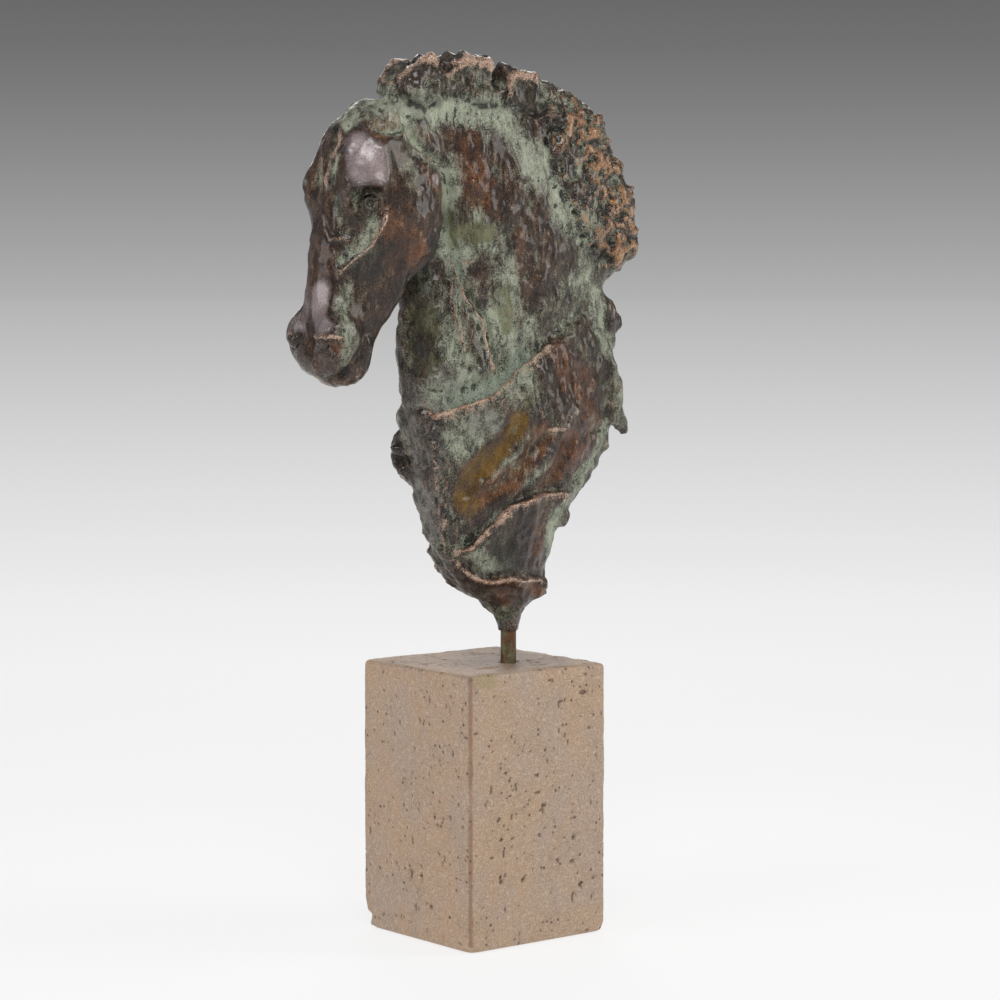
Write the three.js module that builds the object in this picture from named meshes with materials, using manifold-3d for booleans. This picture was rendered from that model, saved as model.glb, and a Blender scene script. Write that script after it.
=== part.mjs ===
// A bronze horse's head and neck, cast as a tapering fragment, held up by a short rod in a travertine block.
// Millimetres, +Z up. The origin is the centre of the block's underside, and the horse looks along -X.
import * as THREE from "three";
import { RoundedBoxGeometry } from "three/addons/geometries/RoundedBoxGeometry.js";
import { mergeVertices } from "three/addons/utils/BufferGeometryUtils.js";
import Module from "manifold-3d";

const wasm = await Module();
wasm.setup();

// Driving dimensions
const BLOCK_WIDTH = 100;
const BLOCK_DEPTH = 100;
const BLOCK_HEIGHT = 157;
const BLOCK_EDGE = 2.2;
const PIT_DEPTH = 2;
const ROD_DIAMETER = 9;
const ROD_BEVEL = 0.8;
const ROD_X = 8;
const ROD_Y = -12.5;
const ROD_IN_STONE = 40;
const ROD_IN_BRONZE = 22;
const ROD_SHOWING = 18;
const SLOT_WIDTH = 1.6;
const SLOT_HEIGHT = 9;
const SLOT_DEPTH = 0.7;
const CLEARANCE = 0.3;
const COLLAR_WALL = 1.7;
const BRONZE_HEIGHT = 328;
const BRONZE_CELLS = 100;
const BRONZE_TRIANGLES = 7400;
const FACE_CARE = 9;
const RIGHT_SIDE_RELIEF = 0.75;

// The bronze is drawn in hundredths of its own height, measured from the foot of its collar on the rod's axis.
const PERCENT = BRONZE_HEIGHT / 100;
const COLLAR = (ROD_DIAMETER / 2 + COLLAR_WALL) / PERCENT;

// Helpers for distance fields: a form is a function of x, y and z that is negative inside it.

const clamp01 = (t) => Math.min(1, Math.max(0, t));
const smooth = (t) => clamp01(t) ** 2 * (3 - 2 * clamp01(t));

// A smooth curve through [position, value] knots, as a function of position.
function profile(knots) {
  const slopes = knots.map((_, i) => {
    const a = knots[Math.max(0, i - 1)];
    const b = knots[Math.min(knots.length - 1, i + 1)];
    return (b[1] - a[1]) / (b[0] - a[0]);
  });
  return (s) => {
    if (s <= knots[0][0]) return knots[0][1];
    let i = 0;
    while (i < knots.length - 2 && s > knots[i + 1][0]) i += 1;
    const [s0, v0] = knots[i];
    const [s1, v1] = knots[i + 1];
    if (s >= s1) return v1;
    const span = s1 - s0;
    const t = (s - s0) / span;
    const rest = 1 - t;
    return (
      v0 * (1 + 2 * t) * rest * rest +
      slopes[i] * span * t * rest * rest +
      v1 * t * t * (3 - 2 * t) -
      slopes[i + 1] * span * t * t * rest
    );
  };
}

// An ellipsoid; lean tips it about the Y axis and yaw turns it about the Z axis, in degrees.
function ellipsoid([cx, cy, cz], [rx, ry, rz], lean = 0, yaw = 0) {
  const c = Math.cos(THREE.MathUtils.degToRad(lean));
  const s = Math.sin(THREE.MathUtils.degToRad(lean));
  const cw = Math.cos(THREE.MathUtils.degToRad(yaw));
  const sw = Math.sin(THREE.MathUtils.degToRad(yaw));
  return (x, y, z) => {
    const ax = cw * (x - cx) + sw * (y - cy);
    const ay = cw * (y - cy) - sw * (x - cx);
    const az = z - cz;
    const px = (c * ax + s * az) / rx;
    const py = ay / ry;
    const pz = (c * az - s * ax) / rz;
    const near = Math.hypot(px, py, pz);
    const slope = Math.hypot(px / rx, py / ry, pz / rz);
    return slope < 1e-9 ? -Math.min(rx, ry, rz) : (near * (near - 1)) / slope;
  };
}

// A block with softened edges, leaning about the Y axis like the ellipsoid.
function softBlock([cx, cy, cz], [hx, hy, hz], edge, lean = 0) {
  const c = Math.cos(THREE.MathUtils.degToRad(lean));
  const s = Math.sin(THREE.MathUtils.degToRad(lean));
  return (x, y, z) => {
    const px = Math.abs(c * (x - cx) + s * (z - cz)) - hx + edge;
    const py = Math.abs(y - cy) - hy + edge;
    const pz = Math.abs(c * (z - cz) - s * (x - cx)) - hz + edge;
    const outside = Math.hypot(
      Math.max(px, 0),
      Math.max(py, 0),
      Math.max(pz, 0),
    );
    return outside + Math.min(Math.max(px, py, pz), 0) - edge;
  };
}

// A round bar from one point to another, its radius changing evenly; flat squeezes it along Y.
function bar(from, to, r0, r1, flat = 1) {
  const dx = to[0] - from[0];
  const dy = (to[1] - from[1]) / flat;
  const dz = to[2] - from[2];
  const length2 = dx * dx + dy * dy + dz * dz;
  return (x, y, z) => {
    const px = x - from[0];
    const py = (y - from[1]) / flat;
    const pz = z - from[2];
    const t = clamp01((px * dx + py * dy + pz * dz) / length2);
    const away = Math.hypot(px - t * dx, py - t * dy, pz - t * dz);
    return (away - r0 - t * (r1 - r0)) * Math.min(1, flat);
  };
}

// A chain of bars through points that each carry a radius as their fourth number.
function chain(points, flat = 1) {
  const links = points
    .slice(1)
    .map((p, i) => bar(points[i], p, points[i][3], p[3], flat));
  return (x, y, z) => Math.min(...links.map((link) => link(x, y, z)));
}

const softMin = (a, b, k) => {
  const h = Math.max(k - Math.abs(a - b), 0) / k;
  return Math.min(a, b) - (h * h * k) / 4;
};

const blend = (k, first, ...rest) => {
  return (x, y, z) =>
    rest.reduce((d, form) => softMin(d, form(x, y, z), k), first(x, y, z));
};

const carve = (k, body, ...tools) => {
  return (x, y, z) =>
    tools.reduce((d, tool) => -softMin(-d, tool(x, y, z), k), body(x, y, z));
};

// The same form on both sides.
const both = (form) => (x, y, z) => form(x, -Math.abs(y), z);

// An upright form of flat sections: front, back and half width by height, fuller or finer at its front.
function loft({
  front,
  back,
  halfWidth,
  low,
  high,
  roundness = 2,
  taper = () => 1,
}) {
  const level = { z: NaN };
  return (x, y, z) => {
    if (z !== level.z) {
      Object.assign(level, { z, start: front(z), width: halfWidth(z) });
      level.rx = (back(z) - level.start) / 2;
    }
    const { rx } = level;
    const along = (x - level.start) / rx - 1;
    const ry = level.width * taper(along);
    const px = Math.abs(along) ** roundness;
    const py = (y / ry) ** 2;
    const near = Math.sqrt(px + py);
    const slopeX = (roundness * Math.abs(along) ** (roundness - 1)) / rx;
    const slopeY = (2 * Math.abs(y)) / (ry * ry);
    const slope = Math.hypot(slopeX, slopeY) / (2 * near);
    const side =
      near < 1e-6 || slope < 1e-9 ? -Math.min(rx, ry) : (near - 1) / slope;
    return Math.max(Math.max(side, -Math.min(rx, ry)), low - z, z - high);
  };
}

// Neck and chest down to the collar
const neck = loft({
  low: -2,
  high: 94,
  roundness: 2.6,
  front: profile([
    [1, -COLLAR],
    [2.5, -COLLAR - 0.5],
    [4.3, -4.6],
    [5.5, -6.4],
    [6.8, -9.4],
    [10.3, -12.8],
    [13.6, -15.2],
    [17.2, -16.9],
    [21, -18.1],
    [27, -19.8],
    [36, -21.6],
    [45, -23.3],
    [58, -23.1],
    [68, -22.8],
    [80, -24],
    [88, -24],
    [94, -20],
  ]),
  back: profile([
    [1, COLLAR],
    [3, COLLAR + 0.2],
    [4.4, 3],
    [5.6, 5.6],
    [9, 7],
    [13.7, 8.1],
    [18.1, 8.6],
    [21.6, 11.8],
    [25, 16.2],
    [30, 20.4],
    [35, 21.6],
    [40, 22.4],
    [46, 22.3],
    [52, 20.8],
    [58, 20.2],
    [64, 22],
    [70, 22.5],
    [76, 22],
    [82, 18.5],
    [88, 12],
    [94, 2],
  ]),
  halfWidth: profile([
    [1, COLLAR],
    [3, COLLAR + 0.3],
    [6, 3.6],
    [9, 5],
    [16, 6.8],
    [26, 8.4],
    [38, 9],
    [48, 8.2],
    [60, 7.8],
    [72, 8],
    [82, 7],
    [90, 5],
    [94, 3.4],
  ]),
  taper: (along) => 1 - 0.22 * smooth(along) - 0.12 * smooth(-along),
});

// Skull and nose: narrow at the nose's bridge and wide at the cheeks
const skull = loft({
  low: 44.2,
  high: 91.5,
  roundness: 3.4,
  front: profile([
    [43.6, -37.4],
    [45, -39.4],
    [48, -40.8],
    [54, -42],
    [60, -42],
    [68, -41],
    [74, -39.7],
    [79, -39],
    [83, -37.6],
    [87, -34.4],
    [91.5, -26],
  ]),
  back: profile([
    [43.6, -34.6],
    [46, -32.8],
    [50, -32.2],
    [54, -32.2],
    [58, -29.8],
    [62, -25],
    [67, -18.5],
    [76, -16],
    [84, -16],
    [91.5, -18],
  ]),
  halfWidth: profile([
    [43.6, 2.4],
    [46, 4.4],
    [50, 5.6],
    [55, 5.7],
    [60, 5.6],
    [65, 6.4],
    [70, 7.4],
    [76, 8],
    [82, 7.2],
    [87, 5.6],
    [91.5, 3.4],
  ]),
  taper: (along) => 1 - 0.13 * smooth(-along),
});

// Cheeks, brows, muzzle and lips, added to the skull; then the hollows of the face
const CHEEK = [-26.6, -4.6, 72.4];
const EYE = [-35.5, -6.7, 74];
const EYE_RADIUS = 1.9;
const NOSTRIL = [-41.4, -4.4, 50.9];

function face() {
  const cheeks = both(ellipsoid(CHEEK, [7.4, 4.4, 9.2], 8));
  const jaws = both(bar([-24.2, -4.6, 67], [-34, -2.3, 50.8], 2.7, 1.9));
  const bulbs = both(ellipsoid([-39.5, -4.3, 51.9], [4, 3.4, 4.7], 8));
  const lip = ellipsoid([-38.7, 0, 48.2], [3.7, 5.9, 3.9]);
  const chin = ellipsoid([-34.2, 0, 49.2], [2.6, 3.7, 4.5], 16);
  const forehead = ellipsoid([-31.6, 0, 82], [6.9, 8, 7.8], -18);
  const brows = both(ellipsoid([-35.2, -5.7, 77.4], [4, 2.9, 2], 8, 20));
  const orbits = both(ellipsoid([-34.9, -4.8, 75.6], [4.6, 2.9, 6.2], 6, 12));
  const poll = ellipsoid([-29.4, 0, 88.2], [3.6, 4.2, 2.6], -30);
  const forms = blend(
    1.8,
    skull,
    cheeks,
    jaws,
    bulbs,
    lip,
    chin,
    forehead,
    brows,
    orbits,
    poll,
  );

  const sockets = both(ellipsoid([-37.6, -8.2, 74], [3.2, 1.8, 2.3], 0, 34));
  const nostrils = both(ellipsoid(NOSTRIL, [1.6, 1.7, 1.4], 20));
  const betweenJaws = bar([-21, 0, 63], [-30, 0, 52], 2.2, 1.2);
  const hollowed = carve(0.8, forms, sockets, nostrils, betweenJaws);

  const eyes = both(ellipsoid(EYE, [EYE_RADIUS, EYE_RADIUS, EYE_RADIUS]));
  const facialCrest = both(
    chain([
      [-32.4, -7.4, 72.4, 0.9],
      [-34.4, -6.5, 69.6, 1],
      [-37, -4.9, 66.6, 1],
      [-38.8, -3.6, 64, 0.7],
    ]),
  );
  const ears = both(
    chain([
      [-27.6, -5.6, 85.8, 2],
      [-29.4, -5.6, 87.8, 1.7],
      [-29.2, -4.8, 90.8, 0.8],
    ]),
  );
  return blend(0.6, hollowed, eyes, facialCrest, ears);
}

// Mane: three separate tufts at the top, then a thick rough band down the crest
const MANE_TUFTS = [
  [[-20.4, 0, 93.3], [4.9, 4.9, 4.3], 2, 32],
  [[-11.4, 0, 94.7], [5, 5, 4.4], 2, -3],
  [[-1, 0, 93], [4.2, 5, 4.6], 2, -14],
];
const MANE_BAND = [
  [5, 0, 89.2, 7.4],
  [11.4, 0, 85.2, 7.6],
  [16, 0, 78.4, 7.4],
  [18.6, 0, 72.5, 7.1],
  [20, 0, 68.4, 6.2],
  [20.4, 0, 65.8, 5],
];
const MANE_INNER_EDGE = profile([
  [61, 21],
  [65.5, 15.5],
  [69, 9.8],
  [76, 5.7],
  [83, 4.5],
  [89.5, 1.8],
]);

const mane = blend(
  0.8,
  chain(MANE_BAND, 0.72),
  ...MANE_TUFTS.map((tuft) => softBlock(...tuft)),
);

// Torn leaves of metal that hang at the back and at the right of the chest
const TORN_LEAVES = [
  [
    [16.6, -3.2, 60, 1.2],
    [19.2, -3.2, 55.4, 2.6],
    [22.9, -3.2, 53, 1.1],
  ],
  [
    [18.8, -3.2, 55.4, 2.6],
    [19.2, -3.2, 51.4, 2.4],
    [21.6, -3.2, 49.4, 1.1],
  ],
  [
    [18.8, -3.2, 49, 1.8],
    [20.6, -3.2, 42, 3],
    [21.8, -3.2, 37.8, 2.2],
    [23.8, -3.2, 34.6, 1.1],
  ],
  [
    [18, -3.2, 36, 1.8],
    [19.8, -3.2, 32, 1.1],
  ],
  [
    [13, -3.2, 30, 1.8],
    [17.4, -3.2, 28.8, 1.1],
  ],
  [
    [6, -3.4, 20.6, 1.5],
    [9, -3.4, 19.4, 0.9],
  ],
];
const SMALL_KNOB = [[4.8, -2.2, 7.6], [1.9, 1.6, 2]];
const CHEST_LUMPS = [
  [[-18.8, 4.2, 33.2], [1.8, 1.8, 2]],
  [[-19.4, 4.2, 31], [1.8, 1.8, 2]],
  [[-18.4, 4, 28.8], [1.8, 1.8, 2]],
];
const leaves = blend(
  0.6,
  ...[SMALL_KNOB, ...CHEST_LUMPS].map((lump) => ellipsoid(...lump)),
  ...TORN_LEAVES.map((leaf) => chain(leaf, 0.6)),
);

const body = blend(0.9, blend(2, neck, face()), mane, leaves);

// Relief on the sides, drawn in side view: each entry is a height to add at x and z.

function distanceToPath(path, x, z) {
  let best = Infinity;
  for (let i = 1; i < path.length; i += 1) {
    const [ax, az] = path[i - 1];
    const dx = path[i][0] - ax;
    const dz = path[i][1] - az;
    const t = clamp01(((x - ax) * dx + (z - az) * dz) / (dx * dx + dz * dz));
    best = Math.min(best, Math.hypot(x - ax - t * dx, z - az - t * dz));
  }
  return best;
}

// A raised line along a path, or a furrow where the height is negative.
const line = (path, height, width) => (x, z) => {
  return height * Math.exp(-((distanceToPath(path, x, z) / width) ** 2));
};

// A layer that ends in a lip along a path from the front to the back and thins out below it.
function layer(path, height, fade) {
  const edge = profile(path);
  const [start] = path[0];
  const [end] = path[path.length - 1];
  return (x, z) => {
    const below = edge(x) - z;
    const ends = smooth((x - start) / 2) * smooth((end - x) / 4);
    return (
      height *
      ends *
      smooth((below + 0.4) / 0.8) *
      Math.exp(-Math.max(0, below) / fade)
    );
  };
}

const THROAT_FURROW = [
  [-27.8, 86.7],
  [-19.6, 80.6],
  [-18.4, 76],
  [-18.4, 70],
  [-16.3, 65.6],
  [-14.1, 59.3],
  [-10.9, 55.4],
  [-9.8, 51],
  [-6, 45],
];
const SHOULDER_EDGE = [
  [-24, 40],
  [-21.8, 38.6],
  [-18.4, 38.9],
  [-9.7, 41],
  [-2.6, 46.2],
  [3.6, 50.4],
  [12, 54],
];
const CHEST_EDGE = [
  [-18, 14.6],
  [-12.4, 16.2],
  [-9.8, 19.4],
  [-7.6, 22],
  [1.3, 23.8],
  [9, 24.4],
  [15, 27],
];
const FOOT_EDGE = [
  [-14.3, 12.3],
  [-10.3, 10.3],
  [-7.7, 9.5],
  [-4.1, 9.9],
  [3, 12],
];

const MOUTH = [
  [-40.4, 44.6],
  [-38.2, 46.8],
  [-36.4, 49.6],
  [-35.2, 52.6],
];

const relief = [
  line(MOUTH, -1, 0.9),
  line(THROAT_FURROW, -1, 1.5),
  line(
    [
      [-18.6, 63],
      [-18.8, 58],
      [-17.5, 53.5],
      [-15.8, 47.5],
    ],
    0.6,
    1.2,
  ),
  layer(SHOULDER_EDGE, 1.2, 16),
  line(
    SHOULDER_EDGE.map(([x, z]) => [x, z + 2]),
    -0.8,
    1.4,
  ),
  layer(CHEST_EDGE, 0.9, 8),
  layer(FOOT_EDGE, 0.6, 5),
  line(
    [
      [-4.4, 38],
      [-15.8, 23.8],
    ],
    -0.6,
    1.5,
  ),
  line(
    [
      [1, 34.8],
      [-11, 24.6],
    ],
    -0.7,
    1.3,
  ),
  line(
    [
      [7.7, 33.8],
      [1.9, 26.1],
    ],
    -0.6,
    1.3,
  ),
  (x, z) =>
    0.9 *
    smooth((x - MANE_INNER_EDGE(z)) / 0.9) *
    smooth((z - 62) / 3) *
    smooth((91 - z) / 2),
];

// Rough lumps over the mane, set out by the golden angle
const MANE_LUMPS = Array.from({ length: 46 }, (_, i) => {
  const along = (i + 0.5) / 46;
  const across = (i * 0.618) % 1;
  const z = 95 - 31 * along ** 0.9;
  const x = MANE_INNER_EDGE(Math.min(z, 89)) + 1.5 + across * 18;
  return { x, z, height: 0.3 + 0.4 * ((i * 0.381) % 1), width: 1.7 };
});

function sideRelief(x, y, z) {
  const side = smooth(Math.abs(y) / 2.2) * (y > 0 ? RIGHT_SIDE_RELIEF : 1);
  let height = 0;
  for (const add of relief) height += add(x, z);
  for (const lump of MANE_LUMPS) {
    const away = (x - lump.x) ** 2 + (z - lump.z) ** 2;
    if (away < 9) height += lump.height * Math.exp(-away / lump.width ** 2);
  }
  return height * side;
}

function bronzeField(x, y, z) {
  const d = body(x, y, z);
  return Math.abs(d) > 2.2 ? d : d - sideRelief(x, y, z);
}

// Marching tetrahedra over a grid: a closed skin where the field is zero.
function skin(field, low, high, cell) {
  const count = low.map((v, i) => Math.ceil((high[i] - v) / cell) + 1);
  const [nx, ny] = count;
  const place = (n) => [
    low[0] + (n % nx) * cell,
    low[1] + (Math.floor(n / nx) % ny) * cell,
    low[2] + Math.floor(n / nx / ny) * cell,
  ];
  const total = count[0] * count[1] * count[2];
  const values = new Float64Array(total);
  // The field is first sampled at the middle of groups of cells, and whole groups far from the skin are passed over.
  const group = 4;
  const far = group * cell * 1.9;
  for (let kz = 0; kz < count[2]; kz += group)
    for (let ky = 0; ky < ny; ky += group)
      for (let kx = 0; kx < nx; kx += group) {
        const half = (group - 1) / 2;
        const middle = [kx, ky, kz].map((k, i) => low[i] + (k + half) * cell);
        const rough = field(...middle);
        for (let k = kz; k < Math.min(kz + group, count[2]); k += 1)
          for (let j = ky; j < Math.min(ky + group, ny); j += 1)
            for (let i = kx; i < Math.min(kx + group, nx); i += 1) {
              const n = i + nx * (j + ny * k);
              values[n] = Math.abs(rough) > far ? rough : field(...place(n));
              if (values[n] === 0) values[n] = 1e-9;
            }
      }

  // The corners of a cell are numbered by bits: 4 for x, 2 for y and 1 for z.
  const corner = [0, 1, 2, 3, 4, 5, 6, 7].map(
    (b) => (b & 4 ? 1 : 0) + (b & 2 ? nx : 0) + (b & 1 ? nx * ny : 0),
  );
  const tetrahedra = [
    [0, 4, 6, 7],
    [0, 6, 2, 7],
    [0, 2, 3, 7],
    [0, 3, 1, 7],
    [0, 1, 5, 7],
    [0, 5, 4, 7],
  ];
  const points = [];
  const triangles = [];
  const seen = new Map();
  const crossing = (a, b) => {
    const key = a < b ? a * total + b : b * total + a;
    if (!seen.has(key)) {
      const t = values[a] / (values[a] - values[b]);
      const share = Math.min(0.97, Math.max(0.03, t));
      const pa = place(a);
      const pb = place(b);
      seen.set(key, points.length);
      points.push(pa.map((v, i) => v + share * (pb[i] - v)));
    }
    return seen.get(key);
  };
  const addTriangle = (a, b, c, inside) => {
    const [p, q, r] = [a, b, c].map((i) => points[i]);
    const o = place(inside);
    const u = [q[0] - p[0], q[1] - p[1], q[2] - p[2]];
    const v = [r[0] - p[0], r[1] - p[1], r[2] - p[2]];
    const outward =
      (u[1] * v[2] - u[2] * v[1]) * (p[0] - o[0]) +
      (u[2] * v[0] - u[0] * v[2]) * (p[1] - o[1]) +
      (u[0] * v[1] - u[1] * v[0]) * (p[2] - o[2]);
    triangles.push(outward > 0 ? [a, b, c] : [a, c, b]);
  };
  for (let k = 0; k < count[2] - 1; k += 1)
    for (let j = 0; j < ny - 1; j += 1)
      for (let i = 0; i < nx - 1; i += 1) {
        const base = i + nx * (j + ny * k);
        const signs = corner.filter((c) => values[base + c] < 0).length;
        if (signs === 0 || signs === 8) continue;
        for (const tet of tetrahedra) {
          const ids = tet.map((b) => base + corner[b]);
          const within = ids.filter((id) => values[id] < 0);
          const beyond = ids.filter((id) => values[id] >= 0);
          if (within.length === 1) {
            const [a] = within;
            addTriangle(...beyond.map((b) => crossing(a, b)), a);
          }
          if (within.length === 3) {
            const [b] = beyond;
            addTriangle(...within.map((a) => crossing(a, b)), within[0]);
          }
          if (within.length === 2) {
            const [a, b] = within;
            const [c, d] = beyond;
            const ring = [
              crossing(a, c),
              crossing(a, d),
              crossing(b, d),
              crossing(b, c),
            ];
            addTriangle(ring[0], ring[1], ring[2], a);
            addTriangle(ring[0], ring[2], ring[3], a);
          }
        }
      }
  return { points, triangles };
}

// Evens out a skin: corners move to and fro between their neighbours, so the form neither grows nor shrinks.
function relax({ points, triangles }, rounds) {
  const ring = points.map(() => new Set());
  for (const [a, b, c] of triangles) {
    ring[a].add(b).add(c);
    ring[b].add(a).add(c);
    ring[c].add(a).add(b);
  }
  const rings = ring.map((set) => [...set]);
  let places = points;
  for (let round = 0; round < 2 * rounds; round += 1) {
    const pull = round % 2 === 0 ? 0.6 : -0.62;
    places = places.map((p, v) =>
      p.map((n, i) => {
        const mean =
          rings[v].reduce((sum, u) => sum + places[u][i], 0) / rings[v].length;
        return n + pull * (mean - n);
      }),
    );
  }
  return { points: places, triangles };
}

// Thins a closed skin by collapsing, again and again, the edge that moves it least off its planes.
function thin({ points, triangles }, wanted, care) {
  const alive = triangles.map(() => true);
  const around = points.map(() => new Set());
  triangles.forEach((tri, t) => tri.forEach((v) => around[v].add(t)));
  const planes = points.map(() => new Float64Array(10));

  const normalOf = (a, b, c) => {
    const ux = b[0] - a[0];
    const uy = b[1] - a[1];
    const uz = b[2] - a[2];
    const vx = c[0] - a[0];
    const vy = c[1] - a[1];
    const vz = c[2] - a[2];
    return [uy * vz - uz * vy, uz * vx - ux * vz, ux * vy - uy * vx];
  };
  for (const tri of triangles) {
    const [a, b, c] = tri.map((v) => points[v]);
    const n = normalOf(a, b, c);
    const area = Math.hypot(...n) || 1e-12;
    const [x, y, z] = n.map((v) => v / area);
    const w = -(x * a[0] + y * a[1] + z * a[2]);
    const weight = area * care(a);
    const terms = [x * x, x * y, x * z, x * w, y * y, y * z, y * w, z * z];
    terms.push(z * w, w * w);
    for (const v of tri) terms.forEach((q, i) => (planes[v][i] += q * weight));
  }

  const errorAt = (q, [x, y, z]) =>
    q[0] * x * x +
    2 * (q[1] * x * y + q[2] * x * z + q[3] * x) +
    q[4] * y * y +
    2 * (q[5] * y * z + q[6] * y) +
    q[7] * z * z +
    2 * q[8] * z +
    q[9];

  // The place of least error for a merged corner, or the best of the two ends and their middle.
  function bestPlace(q, a, b) {
    const mid = a.map((v, i) => (v + b[i]) / 2);
    const c0 = q[4] * q[7] - q[5] * q[5];
    const c1 = q[2] * q[5] - q[1] * q[7];
    const c2 = q[1] * q[5] - q[2] * q[4];
    const det = q[0] * c0 + q[1] * c1 + q[2] * c2;
    const size = q[0] + q[4] + q[7];
    const choices = [a, b, mid];
    if (det > 1e-5 * size ** 3) {
      const c3 = q[0] * q[7] - q[2] * q[2];
      const c4 = q[1] * q[2] - q[0] * q[5];
      const c5 = q[0] * q[4] - q[1] * q[1];
      const best = [
        -(c0 * q[3] + c1 * q[6] + c2 * q[8]) / det,
        -(c1 * q[3] + c3 * q[6] + c4 * q[8]) / det,
        -(c2 * q[3] + c4 * q[6] + c5 * q[8]) / det,
      ];
      const reach = Math.hypot(...a.map((v, i) => v - b[i]));
      if (Math.hypot(...best.map((v, i) => v - mid[i])) < 1.5 * reach)
        choices.push(best);
    }
    let chosen = choices[0];
    for (const p of choices)
      if (errorAt(q, p) < errorAt(q, chosen)) chosen = p;
    return chosen;
  }

  // A binary heap of edges, cheapest first; an edge whose ends have moved since is passed over.
  const heap = [];
  const moved = new Uint32Array(points.length);
  function push(edge) {
    let i = heap.length;
    heap.push(edge);
    while (i > 0) {
      const parent = (i - 1) >> 1;
      if (heap[parent].cost <= edge.cost) break;
      heap[i] = heap[parent];
      i = parent;
    }
    heap[i] = edge;
  }
  function pop() {
    const top = heap[0];
    const last = heap.pop();
    if (heap.length > 0) {
      let i = 0;
      for (;;) {
        let child = 2 * i + 1;
        if (child >= heap.length) break;
        if (child + 1 < heap.length && heap[child + 1].cost < heap[child].cost)
          child += 1;
        if (heap[child].cost >= last.cost) break;
        heap[i] = heap[child];
        i = child;
      }
      heap[i] = last;
    }
    return top;
  }
  function offer(a, b) {
    const q = planes[a].map((v, i) => v + planes[b][i]);
    const place = bestPlace(q, points[a], points[b]);
    const length2 = points[a].reduce((s, v, i) => s + (v - points[b][i]) ** 2, 0);
    const cost = errorAt(q, place) + 1e-6 * length2;
    push({ cost, a, b, place, stamp: moved[a] + moved[b] });
  }
  const neighbours = (v) => {
    const ring = new Set();
    for (const t of around[v]) for (const u of triangles[t]) ring.add(u);
    ring.delete(v);
    return ring;
  };
  // Twice the area over the longest side squared: near 1 for an even triangle and 0 for a needle.
  const evenness = (corners, normal) => {
    const sides = corners.map((p, i) =>
      Math.hypot(...p.map((n, k) => n - corners[(i + 1) % 3][k])),
    );
    return Math.hypot(...normal) / Math.max(...sides) ** 2;
  };
  // True where moving one end of the edge to the new place folds or flattens a triangle beside it.
  function folds(v, other, place) {
    for (const t of around[v]) {
      const tri = triangles[t];
      if (tri.includes(other)) continue;
      const old = tri.map((u) => points[u]);
      const corners = tri.map((u) => (u === v ? place : points[u]));
      const before = normalOf(...old);
      const after = normalOf(...corners);
      const sizes = Math.hypot(...before) * Math.hypot(...after);
      const dot = before.reduce((s, n, i) => s + n * after[i], 0);
      const isSliver = evenness(old, before) < 0.05;
      if (dot < (isSliver ? 0 : 0.3) * sizes) return true;
      const even = evenness(corners, after);
      if (even < 0.1 && even < evenness(old, before)) return true;
    }
    return false;
  }

  for (let v = 0; v < points.length; v += 1)
    for (const u of neighbours(v)) if (u > v) offer(v, u);

  let left = triangles.length;
  while (left > wanted && heap.length > 0) {
    const { a, b, place, stamp } = pop();
    if (around[a].size === 0 || around[b].size === 0) continue;
    if (stamp !== moved[a] + moved[b]) continue;
    const ringA = neighbours(a);
    const ringB = neighbours(b);
    const shared = [...ringA].filter((v) => ringB.has(v)).length;
    if (shared !== 2 || folds(a, b, place) || folds(b, a, place)) continue;

    for (const t of around[b]) {
      const tri = triangles[t];
      if (tri.includes(a)) {
        alive[t] = false;
        left -= 1;
        for (const v of tri) if (v !== b) around[v].delete(t);
      } else {
        tri[tri.indexOf(b)] = a;
        around[a].add(t);
      }
    }
    around[b].clear();
    points[a] = place;
    planes[a].forEach((v, i) => (planes[a][i] = v + planes[b][i]));
    moved[a] += 1;
    for (const u of neighbours(a)) offer(a, u);
  }
  return { points, triangles: triangles.filter((_, t) => alive[t]) };
}

function toGeometry({ points, triangles }) {
  const used = new Map();
  const places = [];
  const index = triangles.flat().map((v) => {
    if (!used.has(v)) {
      used.set(v, used.size);
      places.push(...points[v]);
    }
    return used.get(v);
  });
  const geometry = new THREE.BufferGeometry();
  geometry.setAttribute(
    "position",
    new THREE.Float32BufferAttribute(places, 3),
  );
  geometry.setIndex(index);
  return geometry;
}

// Closed solids to and from the join and cut library

function solid(geometry, isWelded = false) {
  const bare = new THREE.BufferGeometry();
  bare.setAttribute("position", geometry.getAttribute("position").clone());
  if (geometry.index) bare.setIndex(geometry.index.clone());
  const welded = isWelded ? bare : mergeVertices(bare, 1e-4);
  const kept = [];
  for (let i = 0; i < welded.index.count; i += 3) {
    const [a, b, c] = [0, 1, 2].map((k) => welded.index.getX(i + k));
    if (a !== b && b !== c && c !== a) kept.push(a, b, c);
  }
  return new wasm.Manifold(
    new wasm.Mesh({
      numProp: 3,
      vertProperties: new Float32Array(welded.getAttribute("position").array),
      triVerts: new Uint32Array(kept),
    }),
  );
}

function fromSolid(body) {
  const mesh = body.getMesh();
  const geometry = new THREE.BufferGeometry();
  geometry.setAttribute(
    "position",
    new THREE.Float32BufferAttribute(mesh.vertProperties, 3),
  );
  geometry.setIndex(new THREE.BufferAttribute(mesh.triVerts, 1));
  geometry.computeVertexNormals();
  return geometry;
}

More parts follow.
